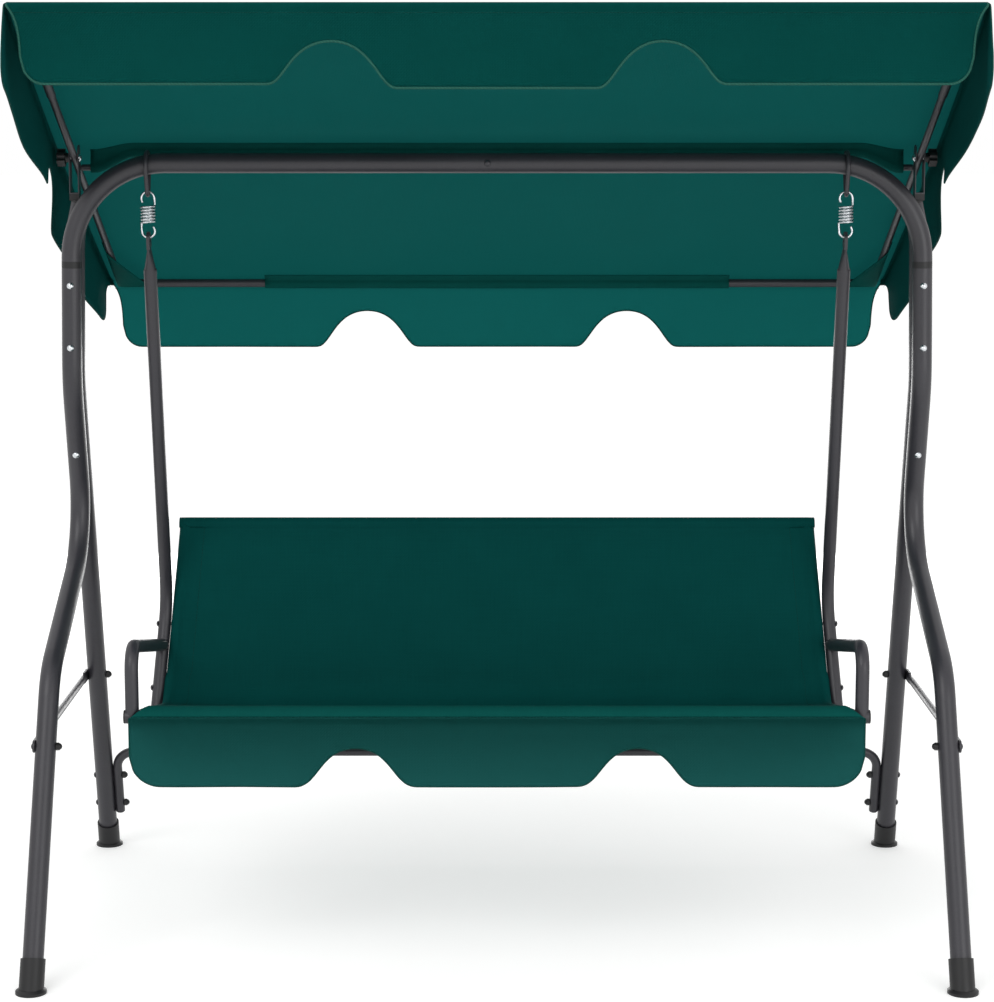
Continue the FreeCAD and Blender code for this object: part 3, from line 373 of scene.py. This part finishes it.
# Runs a tree along the paths and keeps the result as a plain mesh.
def runAlong(name, paths, tree, material, **sizes):
    points, edges = [], []
    for path in paths:
        first = len(points)
        points += [tuple(p) for p in path]
        edges += [(i, i + 1) for i in range(first, len(points) - 1)]
    mesh = bpy.data.meshes.new(name + "Path")
    mesh.from_pydata(points, edges, [])
    carrier = bpy.data.objects.new(name + "Path", mesh)
    scene.collection.objects.link(carrier)
    run = carrier.modifiers.new("run", "NODES")
    run.node_group = tree
    for item in tree.interface.items_tree:
        if item.in_out == "INPUT" and item.name in sizes:
            run[item.identifier] = sizes[item.name]
        elif item.in_out == "INPUT" and item.name == "Finish":
            run[item.identifier] = material
    done = carrier.evaluated_get(bpy.context.evaluated_depsgraph_get())
    result = bpy.data.meshes.new_from_object(done)
    result.name = name
    result.polygons.foreach_set("use_smooth", [True] * len(result.polygons))
    carrier.modifiers.remove(run)
    bpy.data.objects.remove(carrier)
    piece = bpy.data.objects.new(name, result)
    scene.collection.objects.link(piece)
    return piece


# Canopy cover: one sheet, folded down into four valances.
cover = {"tilt": math.radians(25.4), "pivotY": -0.01014, "pivotZ": 1.470, "front": -0.607, "rear": 0.660,
         "sideEnd": 0.604, "halfWidth": 0.829, "bow": 0.016, "low": 0.0099, "crown": 0.0195, "sag": 0.004,
         "fold": 0.005, "drops": {"front": 0.1352, "rear": 0.141, "side": 0.139}, "corner": 0.045,
         "rearCorner": 0.075, "endTuck": 0.0225, "cornerBand": (0.0315, 0.009), "bandRound": 0.03,
         "wave": 0.006, "centreLobe": 0.0066, "lobeEdge": (0.28, 0.11), "thickness": 0.0016,
         "seamDown": 0.012, "rib": 0.016, "ribToBar": 0.6, "ripple": 0.0016, "rows": 13, "fine": 0.0065,
         "coarse": 0.022, "bandStep": 0.0015}
frontNotch = {"places": (-0.280, 0.280), "halfFoot": 0.109, "depth": 0.0712, "footHandle": 0.267,
              "peakHandle": 0.662, "margin": 0.007}
rearNotch = {**frontNotch, "depth": 0.077}
sideNotch = {**frontNotch, "places": (-0.010,), "halfFoot": 0.127, "depth": 0.075}
coverMiddle = (cover["front"] + cover["rear"]) / 2
coverReach = (cover["rear"] - cover["front"]) / 2
tiltSin, tiltCos = math.sin(cover["tilt"]), math.cos(cover["tilt"])
coverUp = Vector((0, tiltSin, tiltCos))
coverBack = Vector((0, tiltCos, -tiltSin))
downward = Vector((0, 0, -1))


# Place of a point that is x across, v along the rails from the pivot and h above them.
def canopyPoint(x, v, h):
    return Vector((x, cover["pivotY"], cover["pivotZ"])) + coverBack * v + coverUp * h


def coverBowAt(v):
    return 1 - ((v - coverMiddle) / coverReach) ** 2


def coverHalf(v):
    return cover["halfWidth"] + cover["bow"] * max(0.0, coverBowAt(v))


def coverHeight(across, v):
    ridge = cover["low"] + cover["crown"] * coverBowAt(v)
    # the cloth hangs a little between the bars and the middle rib
    span = math.sin(math.pi * min(1.0, abs(v - cover["rib"]) / cover["ribToBar"])) ** 2
    slack = cover["sag"] * span * (1 - across ** 4)
    ripple = noise.noise(Vector((across * 5, v * 4, 1.7))) * (1 - abs(across) ** 8) * span
    return ridge - slack + cover["ripple"] * ripple


# The side valance hangs in before the notch; behind it the cloth stands out, then hangs in again at the rear.
sideBends = ((-0.14, 0.11, -0.019), (0.13, 0.12, 0.015), (0.40, 0.10, 0.012), (0.57, 0.15, -0.008))


def sideFlare(v):
    return sum(lift * math.exp(-((v - place) / width) ** 2) for place, width, lift in sideBends)


# The side valance's depth: full to its rear end, then a short band that closes the corner.
def sideDepth(v):
    beyond = v - cover["sideEnd"]
    if beyond <= 1e-6:
        corners = (cover["corner"], cover["rearCorner"])
        return hemDepth(v, cover["front"], cover["sideEnd"], cover["drops"]["side"], corners, sideNotch)
    near, far = cover["cornerBand"]
    band = near + (far - near) * beyond / (cover["rear"] - cover["sideEnd"])
    bend = max(0.0, cover["bandRound"] - beyond)
    return band + cover["bandRound"] - math.sqrt(cover["bandRound"] ** 2 - bend ** 2)


# Where the lower edge curves, the points lie close together.
def notchZones(notch):
    reach = notch["halfFoot"] + notch["margin"]
    return [(middle - reach, middle + reach) for middle in notch["places"]]


panelEnd, frontRound, rearRound = 0.77, -0.545, 0.520
bandStart = cover["sideEnd"] + cover["bandStep"]
frontZones = notchZones(frontNotch)
frontZones += [(-cover["halfWidth"], -panelEnd), (panelEnd, cover["halfWidth"])]
sideZones = notchZones(sideNotch)
sideZones += [(cover["front"], frontRound), (rearRound, cover["sideEnd"]), (cover["sideEnd"], bandStart),
              (bandStart, cover["rear"])]
coverAcross = stations(-cover["halfWidth"], cover["halfWidth"], frontZones, cover["fine"], cover["coarse"])
coverAlong = stations(cover["front"], cover["rear"], sideZones, cover["fine"], cover["coarse"])


def buildCover():
    points, flat, faces, sideFaces = [], [], [], []

    def put(point, uv):
        points.append(point)
        flat.append(uv)
        return len(points) - 1

    fold, rows = cover["fold"], cover["rows"]
    top = []
    for v in coverAlong:
        inset = coverMiddle + (v - coverMiddle) * (coverReach - fold) / coverReach
        half = coverHalf(v) - fold
        top.append([put(canopyPoint(x / cover["halfWidth"] * half, inset,
                                    coverHeight(x / cover["halfWidth"], v)), (x, v)) for x in coverAcross])
    bridge(faces, *top)

    hems, seams = {}, {}
    sides = (("front", top[0], coverAcross, -coverBack, downward, frontNotch),
             ("rear", top[-1], coverAcross, coverBack, downward, rearNotch),
             ("left", [row[0] for row in top], coverAlong, Vector((-1, 0, 0)), -coverUp, sideNotch),
             ("right", [row[-1] for row in top], coverAlong, Vector((1, 0, 0)), -coverUp, sideNotch))
    for name, edge, places, outward, hang, notch in sides:
        crossPanel = name in ("front", "rear")
        drop = cover["drops"][name if crossPanel else "side"]
        turn = outward.angle(hang)
        away = (hang.cross(Vector((1, 0, 0))) if crossPanel else outward).normalized()
        if away.dot(outward) < 0:
            away = -away
        columns = []
        for number, place in zip(edge, places):
            start = points[number]
            centre = start - coverUp * fold
            fall = hang
            if crossPanel:
                corners = (cover["corner"], cover["corner"])
                depth = hemDepth(place, places[0], places[-1], drop, corners, notch)
                # the front's middle lobe hangs lower than its neighbours
                lobeStart, lobeRamp = cover["lobeEdge"]
                lobe = min(1.0, max(0.0, (lobeStart - abs(place)) / lobeRamp))
                depth += cover["centreLobe"] * lobe ** 2 * (3 - 2 * lobe) if name == "front" else 0
            else:
                depth = sideDepth(place)
                beyond = max(0.0, place - cover["sideEnd"]) / (cover["rear"] - cover["sideEnd"])
                fall = hang.lerp(downward, beyond).normalized()
                # the corner bands bend round the corner towards the rear panel
                centre.x -= math.copysign(fold * beyond ** 2, centre.x)
            depth -= fold
            column = [number]
            for k in range(1, 4):
                angle = turn * k / 3
                spot = centre + coverUp * (fold * math.cos(angle)) + outward * (fold * math.sin(angle))
                column.append(put(spot, None))
            base = points[column[-1]]
            seed = {"front": 0.3, "rear": 7.1, "left": 12.9, "right": 19.4}[name]
            for k in range(1, rows + 1):
                share = k / rows
                swing = noise.noise(Vector((place * 3.6, seed, share * 0.6)))
                swing += 0.5 * noise.noise(Vector((place * 8.5, seed + 3, share * 0.9)))
                down = depth * share / drop
                lift = cover["wave"] * down ** 1.4 * swing
                if not crossPanel:
                    lift += sideFlare(place) * down
                spot = base + fall * (depth * share) + away * lift
                # the cross panels' ends draw in, and the corner bands with them
                pull = (abs(place) / cover["halfWidth"]) ** 6 if crossPanel else beyond ** 2
                spot.x -= math.copysign(cover["endTuck"] * (1 - math.exp(-5.5 * down)) * pull, spot.x)
                column.append(put(spot, None))
            # the flat cloth: how far each point lies beyond the fold
            run = 0.0
            for before, after in zip(column, column[1:]):
                run += (points[after] - points[before]).length
                if crossPanel:
                    flat[after] = (place, cover["front"] - run if name == "front" else cover["rear"] + run)
                else:
                    reach = cover["halfWidth"] + run
                    flat[after] = (-reach if name == "left" else reach, place)
            columns.append(column)
        forward = name in ("rear", "left")
        count = len(faces)
        for near, far in zip(columns, columns[1:]):
            pair = (far, near) if forward else (near, far)
            bridge(faces, *pair)
        sideFaces += [] if crossPanel else range(count, len(faces))
        first = [points[n].copy() for n in columns[0][2:]]
        last = [points[n].copy() for n in columns[-1][2:]]
        hem = [points[column[-1]].copy() for column in columns]
        hems[name] = first[:-1] + hem + last[:-1][::-1]
        lift = away * (cover["thickness"] / 2 + stitchLift)
        seams[name] = [points[column[3]] + hang * cover["seamDown"] + lift for column in columns[1:-1]]
    return points, flat, faces, sideFaces, hems, seams


points, flat, faces, sideFaces, hems, seams = buildCover()
canopyCover = addPiece("canopyCover", points, faces, thinCloth, flat, denseCloth, sideFaces)
thicken(canopyCover, cover["thickness"])
canopyBinding = runAlong("canopyBinding", [hems["front"]], bindingTree, bindingTape,
                         Radius=0.0022, Step=0.005)
plainHems = [hems[name] for name in ("rear", "left", "right")]
canopyHems = runAlong("canopyHems", plainHems, bindingTree, sewingThread, Radius=0.0014, Step=0.006)
canopyStitches = runAlong("canopyStitches", list(seams.values()), stitchTree, sewingThread, **stitch)
print("canopy cover:", len(faces), "faces")


# Pocket under each corner of the cover: a triangle of cloth that holds the bent bar.
pocket = {"railX": 0.803, "frontBar": -0.590, "rearBar": 0.643, "under": -0.0105, "wrap": 0.0115,
          "across": 0.08, "along": 0.22, "top": 0.0075, "slack": 0.12, "steps": 12}


def buildPockets():
    points, flat, faces = [], [], []
    for side in (-1, 1):
        for bar, inward in ((pocket["frontBar"], 1), (pocket["rearBar"], -1)):
            steps = pocket["steps"]
            grid = {}
            for a in range(steps + 1):
                for b in range(steps + 1 - a):
                    fromRail = pocket["across"] * a / steps - pocket["wrap"]
                    fromBar = pocket["along"] * b / steps - pocket["wrap"]
                    outside = min(fromRail, fromBar, 0.0) / pocket["wrap"]
                    h = pocket["under"] * math.sqrt(max(0.0, 1 - outside ** 2))
                    if min(a, b) == 0:
                        h = pocket["top"]
                    loose = max(0.0, min(fromRail, fromBar))
                    h -= pocket["slack"] * loose * (1 - (a + b) / steps)
                    x = side * (pocket["railX"] - fromRail)
                    grid[a, b] = len(points)
                    points.append(canopyPoint(x, bar + inward * fromBar, h))
                    flat.append((x, bar + inward * fromBar))
            flip = side * inward > 0
            for a in range(steps):
                for b in range(steps - a):
                    corners = [grid[a, b], grid[a + 1, b], grid[a, b + 1]]
                    if a + b < steps - 1:
                        corners = [grid[a, b], grid[a + 1, b], grid[a + 1, b + 1], grid[a, b + 1]]
                    faces.append(corners[::-1] if flip else corners)
    return points, flat, faces


points, flat, faces = buildPockets()
# the pockets wear the cloth painted paler: painted light in the cover's shade
canopyPockets = addPiece("canopyPockets", points, faces, sleeveClothPaintedLight, flat)
thicken(canopyPockets, cover["thickness"])

# Tunnels sewn under the cover: one around the middle of the rear bar, one around the middle rib.
barSleeve = {"half": 0.495, "bar": 0.643, "rise": 0.0, "radius": 0.0099, "flange": 0.024, "top": 0.0079,
             "step": 0.015, "ramp": (1, 2), "ends": (0, 0)}
ribSleeve = {"half": 0.778, "bar": 0.016, "rise": 0.020, "radius": 0.0095, "flange": 0.021, "top": 0.0078,
             "step": 0.0125, "ramp": (0.696, 0.766), "ends": (0.029, -0.020)}
# How both are sewn: lip and join on the cover, the arc around the bar in degrees.
tunnelSeam = {"lip": (0.006, 0.0005), "join": (0.0125, 0.0007), "arcStart": 165, "arcTurn": 210,
              "arcSteps": 12, "pucker": 0.05}


def buildTunnel(tunnel):
    points, flat, faces = [], [], []
    columns = []
    count = round(2 * tunnel["half"] / tunnel["step"])
    for i in range(count + 1):
        x = -tunnel["half"] + 2 * tunnel["half"] * i / count
        # towards its ends the rib bends back and down, away from the cover
        low, high = tunnel["ramp"]
        bent = min(1.0, max(0.0, (abs(x) - low) / (high - low)))
        back, down = (shift * (bent + bent * bent * (3 - 2 * bent)) / 2 for shift in tunnel["ends"])
        flange, top = tunnel["flange"], tunnel["top"]
        (lip, lipDown), (join, joinDown) = tunnelSeam["lip"], tunnelSeam["join"]
        path = [(back - flange, top), (back - flange + lip, top - lipDown)]
        for k in range(tunnelSeam["arcSteps"] + 1):
            angle = math.radians(tunnelSeam["arcStart"] + tunnelSeam["arcTurn"] * k / tunnelSeam["arcSteps"])
            pucker = 1 + tunnelSeam["pucker"] * noise.noise(Vector((x * 9, k * 0.5, 4.2)))
            reach = tunnel["radius"] * pucker
            path.append((back + reach * math.cos(angle), down + reach * math.sin(angle)))
        path.append((back + join, top - joinDown))
        column, run = [], 0.0
        for k, (along, h) in enumerate(path):
            if k:
                run += math.dist(path[k - 1], path[k])
            column.append(len(points))
            points.append(canopyPoint(x, tunnel["bar"] + along, tunnel["rise"] + h))
            flat.append((x, run))
        columns.append(column)
    for near, far in zip(columns, columns[1:]):
        bridge(faces, far, near)
    return points, flat, faces


points, flat, faces = buildTunnel(barSleeve)
# both tunnels wear the cloth painted paler: painted light in the cover's shade
canopySleeve = addPiece("canopyBarSleeve", points, faces, sleeveClothPaintedLight, flat)
thicken(canopySleeve, cover["thickness"])
points, flat, faces = buildTunnel(ribSleeve)
ribTunnel = addPiece("canopyRibSleeve", points, faces, sleeveClothPaintedLight, flat)
thicken(ribTunnel, cover["thickness"])
print("canopy pockets and tunnels made")


# Seat sling: a panel between the rails, with sleeves around the rails and rolls over the bars.
sling = {"front": (-0.37034, 0.467), "corner": (0.04466, 0.385), "top": (0.18266, 0.733), "bend": 0.070,
         "railLow": 0.6465, "railHigh": 0.6235, "above": 0.010, "sleeve": 0.0138, "roll": 0.0142,
         "seam": 0.036, "frontHalf": 0.628, "topHalf": 0.6383, "sag": 0.006, "thickness": 0.0018,
         "step": 0.016, "across": 0.024, "intoRoll": 0.010, "start": 0.023, "end": 0.012, "ripple": 0.0012,
         "backLoose": 0.4}


# Stations along the rails: place, normal, rail x and run length.
def slingStations():
    front, corner, top = [Vector((0, *sling[k])) for k in ("front", "corner", "top")]
    seatRun, backRun = (corner - front).normalized(), (top - corner).normalized()
    turn = seatRun.angle(backRun)
    tangent = sling["bend"] * math.tan(turn / 2)
    seatUp = Vector((0, -seatRun.z, seatRun.y))
    backUp = Vector((0, -backRun.z, backRun.y))
    bendStart = corner - seatRun * tangent
    centre = bendStart + seatUp * sling["bend"]
    marks = []
    seatLength = (bendStart - front).length
    firstPlace = sling["start"]
    count = round((seatLength - firstPlace) / sling["step"])
    for i in range(count):
        place = firstPlace + (seatLength - firstPlace) * i / count
        marks.append((front + seatRun * place, seatUp, sling["railLow"], place))
    steps = 12
    for i in range(steps + 1):
        angle = turn * i / steps
        normal = seatUp * math.cos(angle) - seatRun * math.sin(angle)
        place = seatLength + sling["bend"] * angle
        marks.append((centre - normal * sling["bend"], normal, sling["railLow"], place))
    backStart = corner + backRun * tangent
    backLength = (top - backStart).length
    run = seatLength + sling["bend"] * turn
    lastPlace = backLength - sling["end"]
    count = round(lastPlace / sling["step"])
    for i in range(1, count + 1):
        place = lastPlace * i / count
        share = (tangent + place) / (top - corner).length
        railX = sling["railLow"] + (sling["railHigh"] - sling["railLow"]) * share
        marks.append((backStart + backRun * place, backUp, railX, run + place))
    return marks, (front, seatRun, seatUp), (top, backRun, backUp), run + backLength


def buildSling():
    marks, frontEnd, topEnd, length = slingStations()
    points, flat, faces = [], [], []

    def put(point, uv):
        points.append(point)
        flat.append(uv)
        return len(points) - 1

    half = sling["railLow"] - sling["seam"]
    count = round(2 * half / sling["across"])
    shares = [-1 + 2 * i / count for i in range(count + 1)]
    # the sleeve's section beside the panel: over the rail, round it and back under the panel
    section = [(-0.027, 0.0101), (-0.019, 0.0109)]
    section += [(sling["sleeve"] * math.cos(math.radians(a)), sling["sleeve"] * math.sin(math.radians(a)))
                for a in range(128, -205, -18)]
    section += [(-0.021, 0.0068), (-0.034, 0.0080)]

    def wing(side, place, normal, railX, run):
        made, reach, before = [], railX - sling["seam"], (-sling["seam"], sling["above"])
        for across, h in section:
            reach += math.dist(before, (across, h))
            before = (across, h)
            pucker = 1 + 0.02 * noise.noise(Vector((side * 3.0, run * 22, 6.1)))
            spot = place + normal * (h * pucker)
            spot.x = side * (railX + across)
            made.append(put(spot, (side * reach, run)))
        return made

    rows, panels = [], []
    for place, normal, railX, run in marks:
        part = run / length
        loose = sling["backLoose"] if part > 0.5 else 1.0
        panel = []
        for share in shares:
            slack = sling["sag"] * math.sin(math.pi * part) ** 2 * (1 - share ** 4) * loose
            ripple = sling["ripple"] * noise.noise(Vector((share * 7, part * 5, 2.5))) * (1 - share ** 8)
            spot = place + normal * (sling["above"] - slack * 0.6 + ripple)
            spot.x = share * (railX - sling["seam"])
            panel.append(put(spot, (spot.x, run)))
        rows.append(wing(-1, place, normal, railX, run)[::-1] + panel + wing(1, place, normal, railX, run))
        panels.append(panel)
    bridge(faces, *rows)
    # the sleeves run on into the top roll
    place, normal, railX, run = marks[-1]
    further = place + topEnd[1] * sling["intoRoll"]
    last = len(section) + 1
    for side, near in ((-1, rows[-1][:last]), (1, rows[-1][-last:])):
        inner = further + normal * sling["above"]
        inner.x = side * (railX - sling["seam"])
        far = [put(inner, (inner.x, run + sling["intoRoll"]))]
        far += wing(side, further, normal, railX, run + sling["intoRoll"])
        bridge(faces, near, far if side > 0 else far[::-1])

    # rolls over the front bar and over the back's top bar
    def roll(end, path, outer, startRun, sign, panel):
        place, along, up = end
        before, run, made = path[0], 0.0, []
        edge = points[panel[-1]].x
        for a, h in path:
            run += math.dist(before, (a, h))
            before = (a, h)
            row = []
            beyond = [edge + (outer - edge) * k / 3 for k in (1, 2, 3)]
            for x in [-b for b in beyond[::-1]] + [points[n].x for n in panel] + beyond:
                spot = place + along * a + up * h
                spot.x = x
                row.append(put(spot, (x, startRun + sign * run)))
            made.append(row)
        return made

    def arc(radius, start, end, steps):
        angles = [math.radians(start + (end - start) * k / steps) for k in range(steps + 1)]
        return [(radius * math.cos(a), radius * math.sin(a)) for a in angles]

    frontPath = [(0.0125, 0.0104)] + arc(sling["roll"], 55, 325, 17) + [(0.021, 0.0050), (0.034, 0.0080)]
    frontRows = roll(frontEnd, frontPath, sling["frontHalf"], sling["start"], -1, panels[0])
    bridge(faces, *frontRows[::-1])
    bridge(faces, frontRows[0][3:-3], panels[0])

    topPath = arc(sling["roll"], 125, -145, 17) + [(-0.021, 0.0050), (-0.034, 0.0080)]
    topRows = roll(topEnd, topPath, sling["topHalf"], length - sling["end"], 1, panels[-1])
    bridge(faces, *topRows)
    bridge(faces, panels[-1], topRows[0][3:-3])
    # the ends of the top roll are sewn shut
    for side, index in ((-1, 0), (1, -1)):
        rim = [row[index] for row in topRows[:-2]]
        middle = put(topEnd[0] + Vector((side * (sling["topHalf"] + 0.001), 0, 0)), (side * 0.7, length))
        for a, b in zip(rim, rim[1:]):
            faces.append((a, middle, b) if side > 0 else (b, middle, a))
    lift = sling["thickness"] / 2 + stitchLift
    seams = []
    for side in (0, -1):
        seams.append([points[panel[side]] + mark[1] * lift for panel, mark in zip(panels, marks)])
    return points, flat, faces, seams


points, flat, faces, seams = buildSling()
seatSling = addPiece("seatSling", points, faces, denseCloth, flat)
thicken(seatSling, sling["thickness"])
slingStitches = runAlong("slingStitches", seams, stitchTree, sewingThread, **stitch)
print("seat sling:", len(faces), "faces")


# Valance that goes over the front roll, is stitched down below it and hangs before the seat.
apron = {"half": 0.668, "wrap": 0.0195, "wrapStart": 78, "hemZ": 0.341, "corner": 0.055, "shoulder": 0.634,
         "seamDrop": -0.0035, "seamDepth": 0.0034, "seamWidth": 0.0019, "seamZone": 0.0035,
         "seamFade": 0.03, "seamStep": 0.02, "setBack": 0.001, "wave": 0.004, "thickness": 0.0018,
         "endZone": 0.600, "least": 0.0004, "wrapRows": 9, "seamRows": 12, "hangRows": 13}
apronNotch = {"places": (-0.257, 0.257), "halfFoot": 0.110, "depth": 0.0715, "footHandle": 0.38,
              "peakHandle": 0.6, "margin": 0.006}


def buildApron():
    points, flat, faces, columns = [], [], [], []
    barY, barZ = sling["front"]
    half, shoulder, wrap = apron["half"], apron["shoulder"], apron["wrap"]
    wrapLength = wrap * math.radians(180 - apron["wrapStart"])
    zones = notchZones(apronNotch) + [(-half, -apron["endZone"]), (apron["endZone"], half)]
    places = stations(-half, half, zones, cover["fine"], cover["coarse"])
    for place in places:
        # the upper corners are cut round the armrests' feet
        beyond = max(0.0, abs(place) - shoulder) / (half - shoulder)
        start = wrapLength * 0.98 * beyond ** 0.7
        corners = (apron["corner"], apron["corner"])
        end = hemDepth(place, places[0], places[-1], barZ - apron["hemZ"], corners, apronNotch)
        first = start - wrapLength
        upper = max(apron["seamDrop"] - apron["seamZone"], first + apron["least"])
        lower = max(apron["seamDrop"] + apron["seamZone"], upper + apron["least"])
        drops = [first + (upper - first) * k / apron["wrapRows"] for k in range(apron["wrapRows"])]
        drops += [upper + (lower - upper) * k / apron["seamRows"] for k in range(apron["seamRows"])]
        drops += [lower + (end - lower) * k / apron["hangRows"] for k in range(apron["hangRows"] + 1)]
        # the seam below the roll fades out before the panel's ends
        sewn = apron["seamDepth"] * min(1.0, max(0.0, (half - abs(place)) / apron["seamFade"])) ** 0.5
        column = []
        for drop in drops:
            tuck = sewn * math.exp(-((drop - apron["seamDrop"]) / apron["seamWidth"]) ** 2)
            if drop < 0:
                angle, reach = math.pi + drop / wrap, wrap - tuck
                spot = Vector((place, barY + reach * math.cos(angle), barZ + reach * math.sin(angle)))
            else:
                share = drop / (barZ - apron["hemZ"])
                swing = noise.noise(Vector((place * 4.0, 31.0, share * 0.7)))
                swing += 0.5 * noise.noise(Vector((place * 9.5, 35.0, share)))
                tuck += apron["setBack"] * min(1.0, drop / (2 * apron["seamZone"]))
                spot = Vector((place, barY - wrap - apron["wave"] * share ** 1.3 * swing + tuck, barZ - drop))
            column.append(len(points))
            points.append(spot)
            flat.append((place, drop))
        columns.append(column)
    rollFaces = []
    for near, far in zip(columns, columns[1:]):
        rollFaces += range(len(faces), len(faces) + apron["wrapRows"] + apron["seamRows"] // 2)
        bridge(faces, near, far)
    edge = [points[n].copy() for n in columns[0]] + [points[c[-1]].copy() for c in columns[1:-1]]
    edge += [points[n].copy() for n in columns[-1][::-1]]
    angle = math.pi + apron["seamDrop"] / wrap
    reach = wrap - apron["seamDepth"] + apron["thickness"] / 2 + 0.0003  # the stitches lie on the crease
    seam = [Vector((x, barY + reach * math.cos(angle), barZ + reach * math.sin(angle)))
            for x in stations(-shoulder, shoulder, [], apron["seamStep"], apron["seamStep"])]
    return points, flat, faces, rollFaces, edge, seam


# the seat valance wears the cloth painted darker: painted shade
points, flat, faces, rollFaces, edge, seam = buildApron()
# the roll over the front bar wears the cloth painted paler: painted light
seatValance = addPiece("seatFrontValance", points, faces, valanceClothPaintedShade, flat, sleeveClothPaintedLight, rollFaces)
thicken(seatValance, apron["thickness"])
valanceHem = runAlong("seatValanceHem", [edge], bindingTree, sewingThread, Radius=0.0013, Step=0.006)
thickStitch = {**stitch, "Thickness": 0.0012}
valanceStitches = runAlong("seatValanceStitches", [seam], stitchTree, sewingThread, **thickStitch)
print("seat valance:", len(faces), "faces")


# Springs: the frame's own shape, copied with its doubled points joined.
def copySpring(side):
    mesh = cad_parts["spring_" + side].data.copy()
    mesh.name = "spring" + side.capitalize()
    joined = bmesh.new()
    joined.from_mesh(mesh)
    bmesh.ops.remove_doubles(joined, verts=joined.verts, dist=0.00001)
    joined.to_mesh(mesh)
    joined.free()
    mesh.polygons.foreach_set("use_smooth", [True] * len(mesh.polygons))
    mesh.materials.clear()
    mesh.materials.append(zinc)
    piece = bpy.data.objects.new(mesh.name, mesh)
    scene.collection.objects.link(piece)
    return piece


springs = {side: copySpring(side) for side in ("left", "right")}
for side, spring in springs.items():
    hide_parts("spring_" + side)
    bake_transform(spring)
print("springs made")


# What each piece rides on, and which of the frame's nodes it stands for.
for piece in (canopyCover, canopyPockets, canopySleeve, ribTunnel, canopyBinding, canopyHems, canopyStitches):
    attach(piece, "canopy")
for piece in (seatSling, slingStitches, seatValance, valanceHem, valanceStitches):
    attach(piece, "seat")
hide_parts("canopy_top", "canopy_front_valance", "canopy_rear_valance",
            "canopy_side_valance_left", "canopy_side_valance_right")
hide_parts("canopy_corner_pockets")
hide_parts("canopy_rear_sleeve")
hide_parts("seat_sling")
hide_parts("seat_valance")


# Stage, light and camera.
stage = {"floor": ("#efefee", "#f3f3f2"), "mottle": 0.4, "floorHalf": 60.0, "lift": 0.34, "sky": 0.8,
         "key": 90, "fill": 60, "back": 75}


# 1 for a ray that shows the background itself, straight, mirrored or through something.
def seenRay(tree):
    path = addNode(tree, "ShaderNodeLightPath").outputs
    seen = addNode(tree, "ShaderNodeMath", {0: path["Is Camera Ray"], 1: path["Is Glossy Ray"]},
                   operation="MAXIMUM")
    seen = addNode(tree, "ShaderNodeMath", {0: seen.outputs[0], 1: path["Is Transmission Ray"]},
                   operation="MAXIMUM")
    return seen.outputs[0]


# A pale floor that takes the shadow; the part seen by the camera is lifted towards white.
def makeFloor():
    material, tree = newMaterial("paleFloor")
    place = addNode(tree, "ShaderNodeTexCoord").outputs["Object"]
    mottle = addNode(tree, "ShaderNodeTexNoise",
                     {"Vector": place, "Scale": 1 / stage["mottle"], "Detail": 4.0})
    dark, light = stage["floor"]
    colour = addNode(tree, "ShaderNodeMix",
                     {"Factor": mottle.outputs["Fac"], "A": srgb(dark), "B": srgb(light)}, data_type="RGBA")
    matt = addNode(tree, "ShaderNodeBsdfDiffuse", {"Color": colour.outputs["Result"]})
    strength = addNode(tree, "ShaderNodeMath", {0: seenRay(tree), 1: stage["lift"]}, operation="MULTIPLY")
    lift = addNode(tree, "ShaderNodeEmission", {"Strength": strength.outputs[0]})
    both = addNode(tree, "ShaderNodeAddShader", {0: matt.outputs["BSDF"], 1: lift.outputs["Emission"]})
    addNode(tree, "ShaderNodeOutputMaterial", {"Surface": both.outputs["Shader"]})
    return material


half = stage["floorHalf"]
floor = addPiece("studioFloor", [(-half, -half, 0), (half, -half, 0), (half, half, 0), (-half, half, 0)],
                 [(0, 1, 2, 3)], makeFloor())

world = bpy.data.worlds.new("studioSky")
world.use_nodes = True
scene.world = world
tree = world.node_tree
tree.nodes.clear()
level = addNode(tree, "ShaderNodeMapRange", {"Value": seenRay(tree), "To Min": stage["sky"], "To Max": 1.0})
sky = addNode(tree, "ShaderNodeBackground", {"Color": (1, 1, 1, 1), "Strength": level.outputs["Result"]})
addNode(tree, "ShaderNodeOutputWorld", {"Surface": sky.outputs["Background"]})


def addPanelLight(name, place, target, size, power):
    lamp = bpy.data.lights.new(name, "AREA")
    lamp.shape = "RECTANGLE"
    lamp.size, lamp.size_y = size
    lamp.energy = power
    holder = bpy.data.objects.new(name, lamp)
    holder.location = place
    holder.rotation_euler = (Vector(target) - Vector(place)).to_track_quat("-Z", "Y").to_euler()
    holder.visible_camera = False
    scene.collection.objects.link(holder)


addPanelLight("keyLight", (-2.6, -4.2, 4.2), (0, 0, 0.9), (3.0, 3.0), stage["key"])
addPanelLight("fillLight", (3.0, -4.4, 1.6), (0, 0, 1.0), (3.0, 3.0), stage["fill"])
# a low, wide panel behind brings out the thin cloth
addPanelLight("backLight", (0, 4.2, 0.6), (0, 0, 0.75), (5.0, 1.1), stage["back"])

# focal length and picture in the photo's pixels, the sensor in millimetres
view = {"focal": 2600, "picture": 1002, "sensor": 36, "place": (0, -4.99334, 1.555), "pitch": 8.5}
camera = bpy.data.cameras.new("photoCamera")
camera.sensor_width = view["sensor"]
camera.lens = view["focal"] / view["picture"] * view["sensor"]
holder = bpy.data.objects.new("photoCamera", camera)
holder.location = view["place"]
holder.rotation_euler = (math.radians(90 - view["pitch"]), 0, 0)
scene.collection.objects.link(holder)
scene.camera = holder
scene.view_settings.view_transform = "Standard"
print("stage, light and camera set")
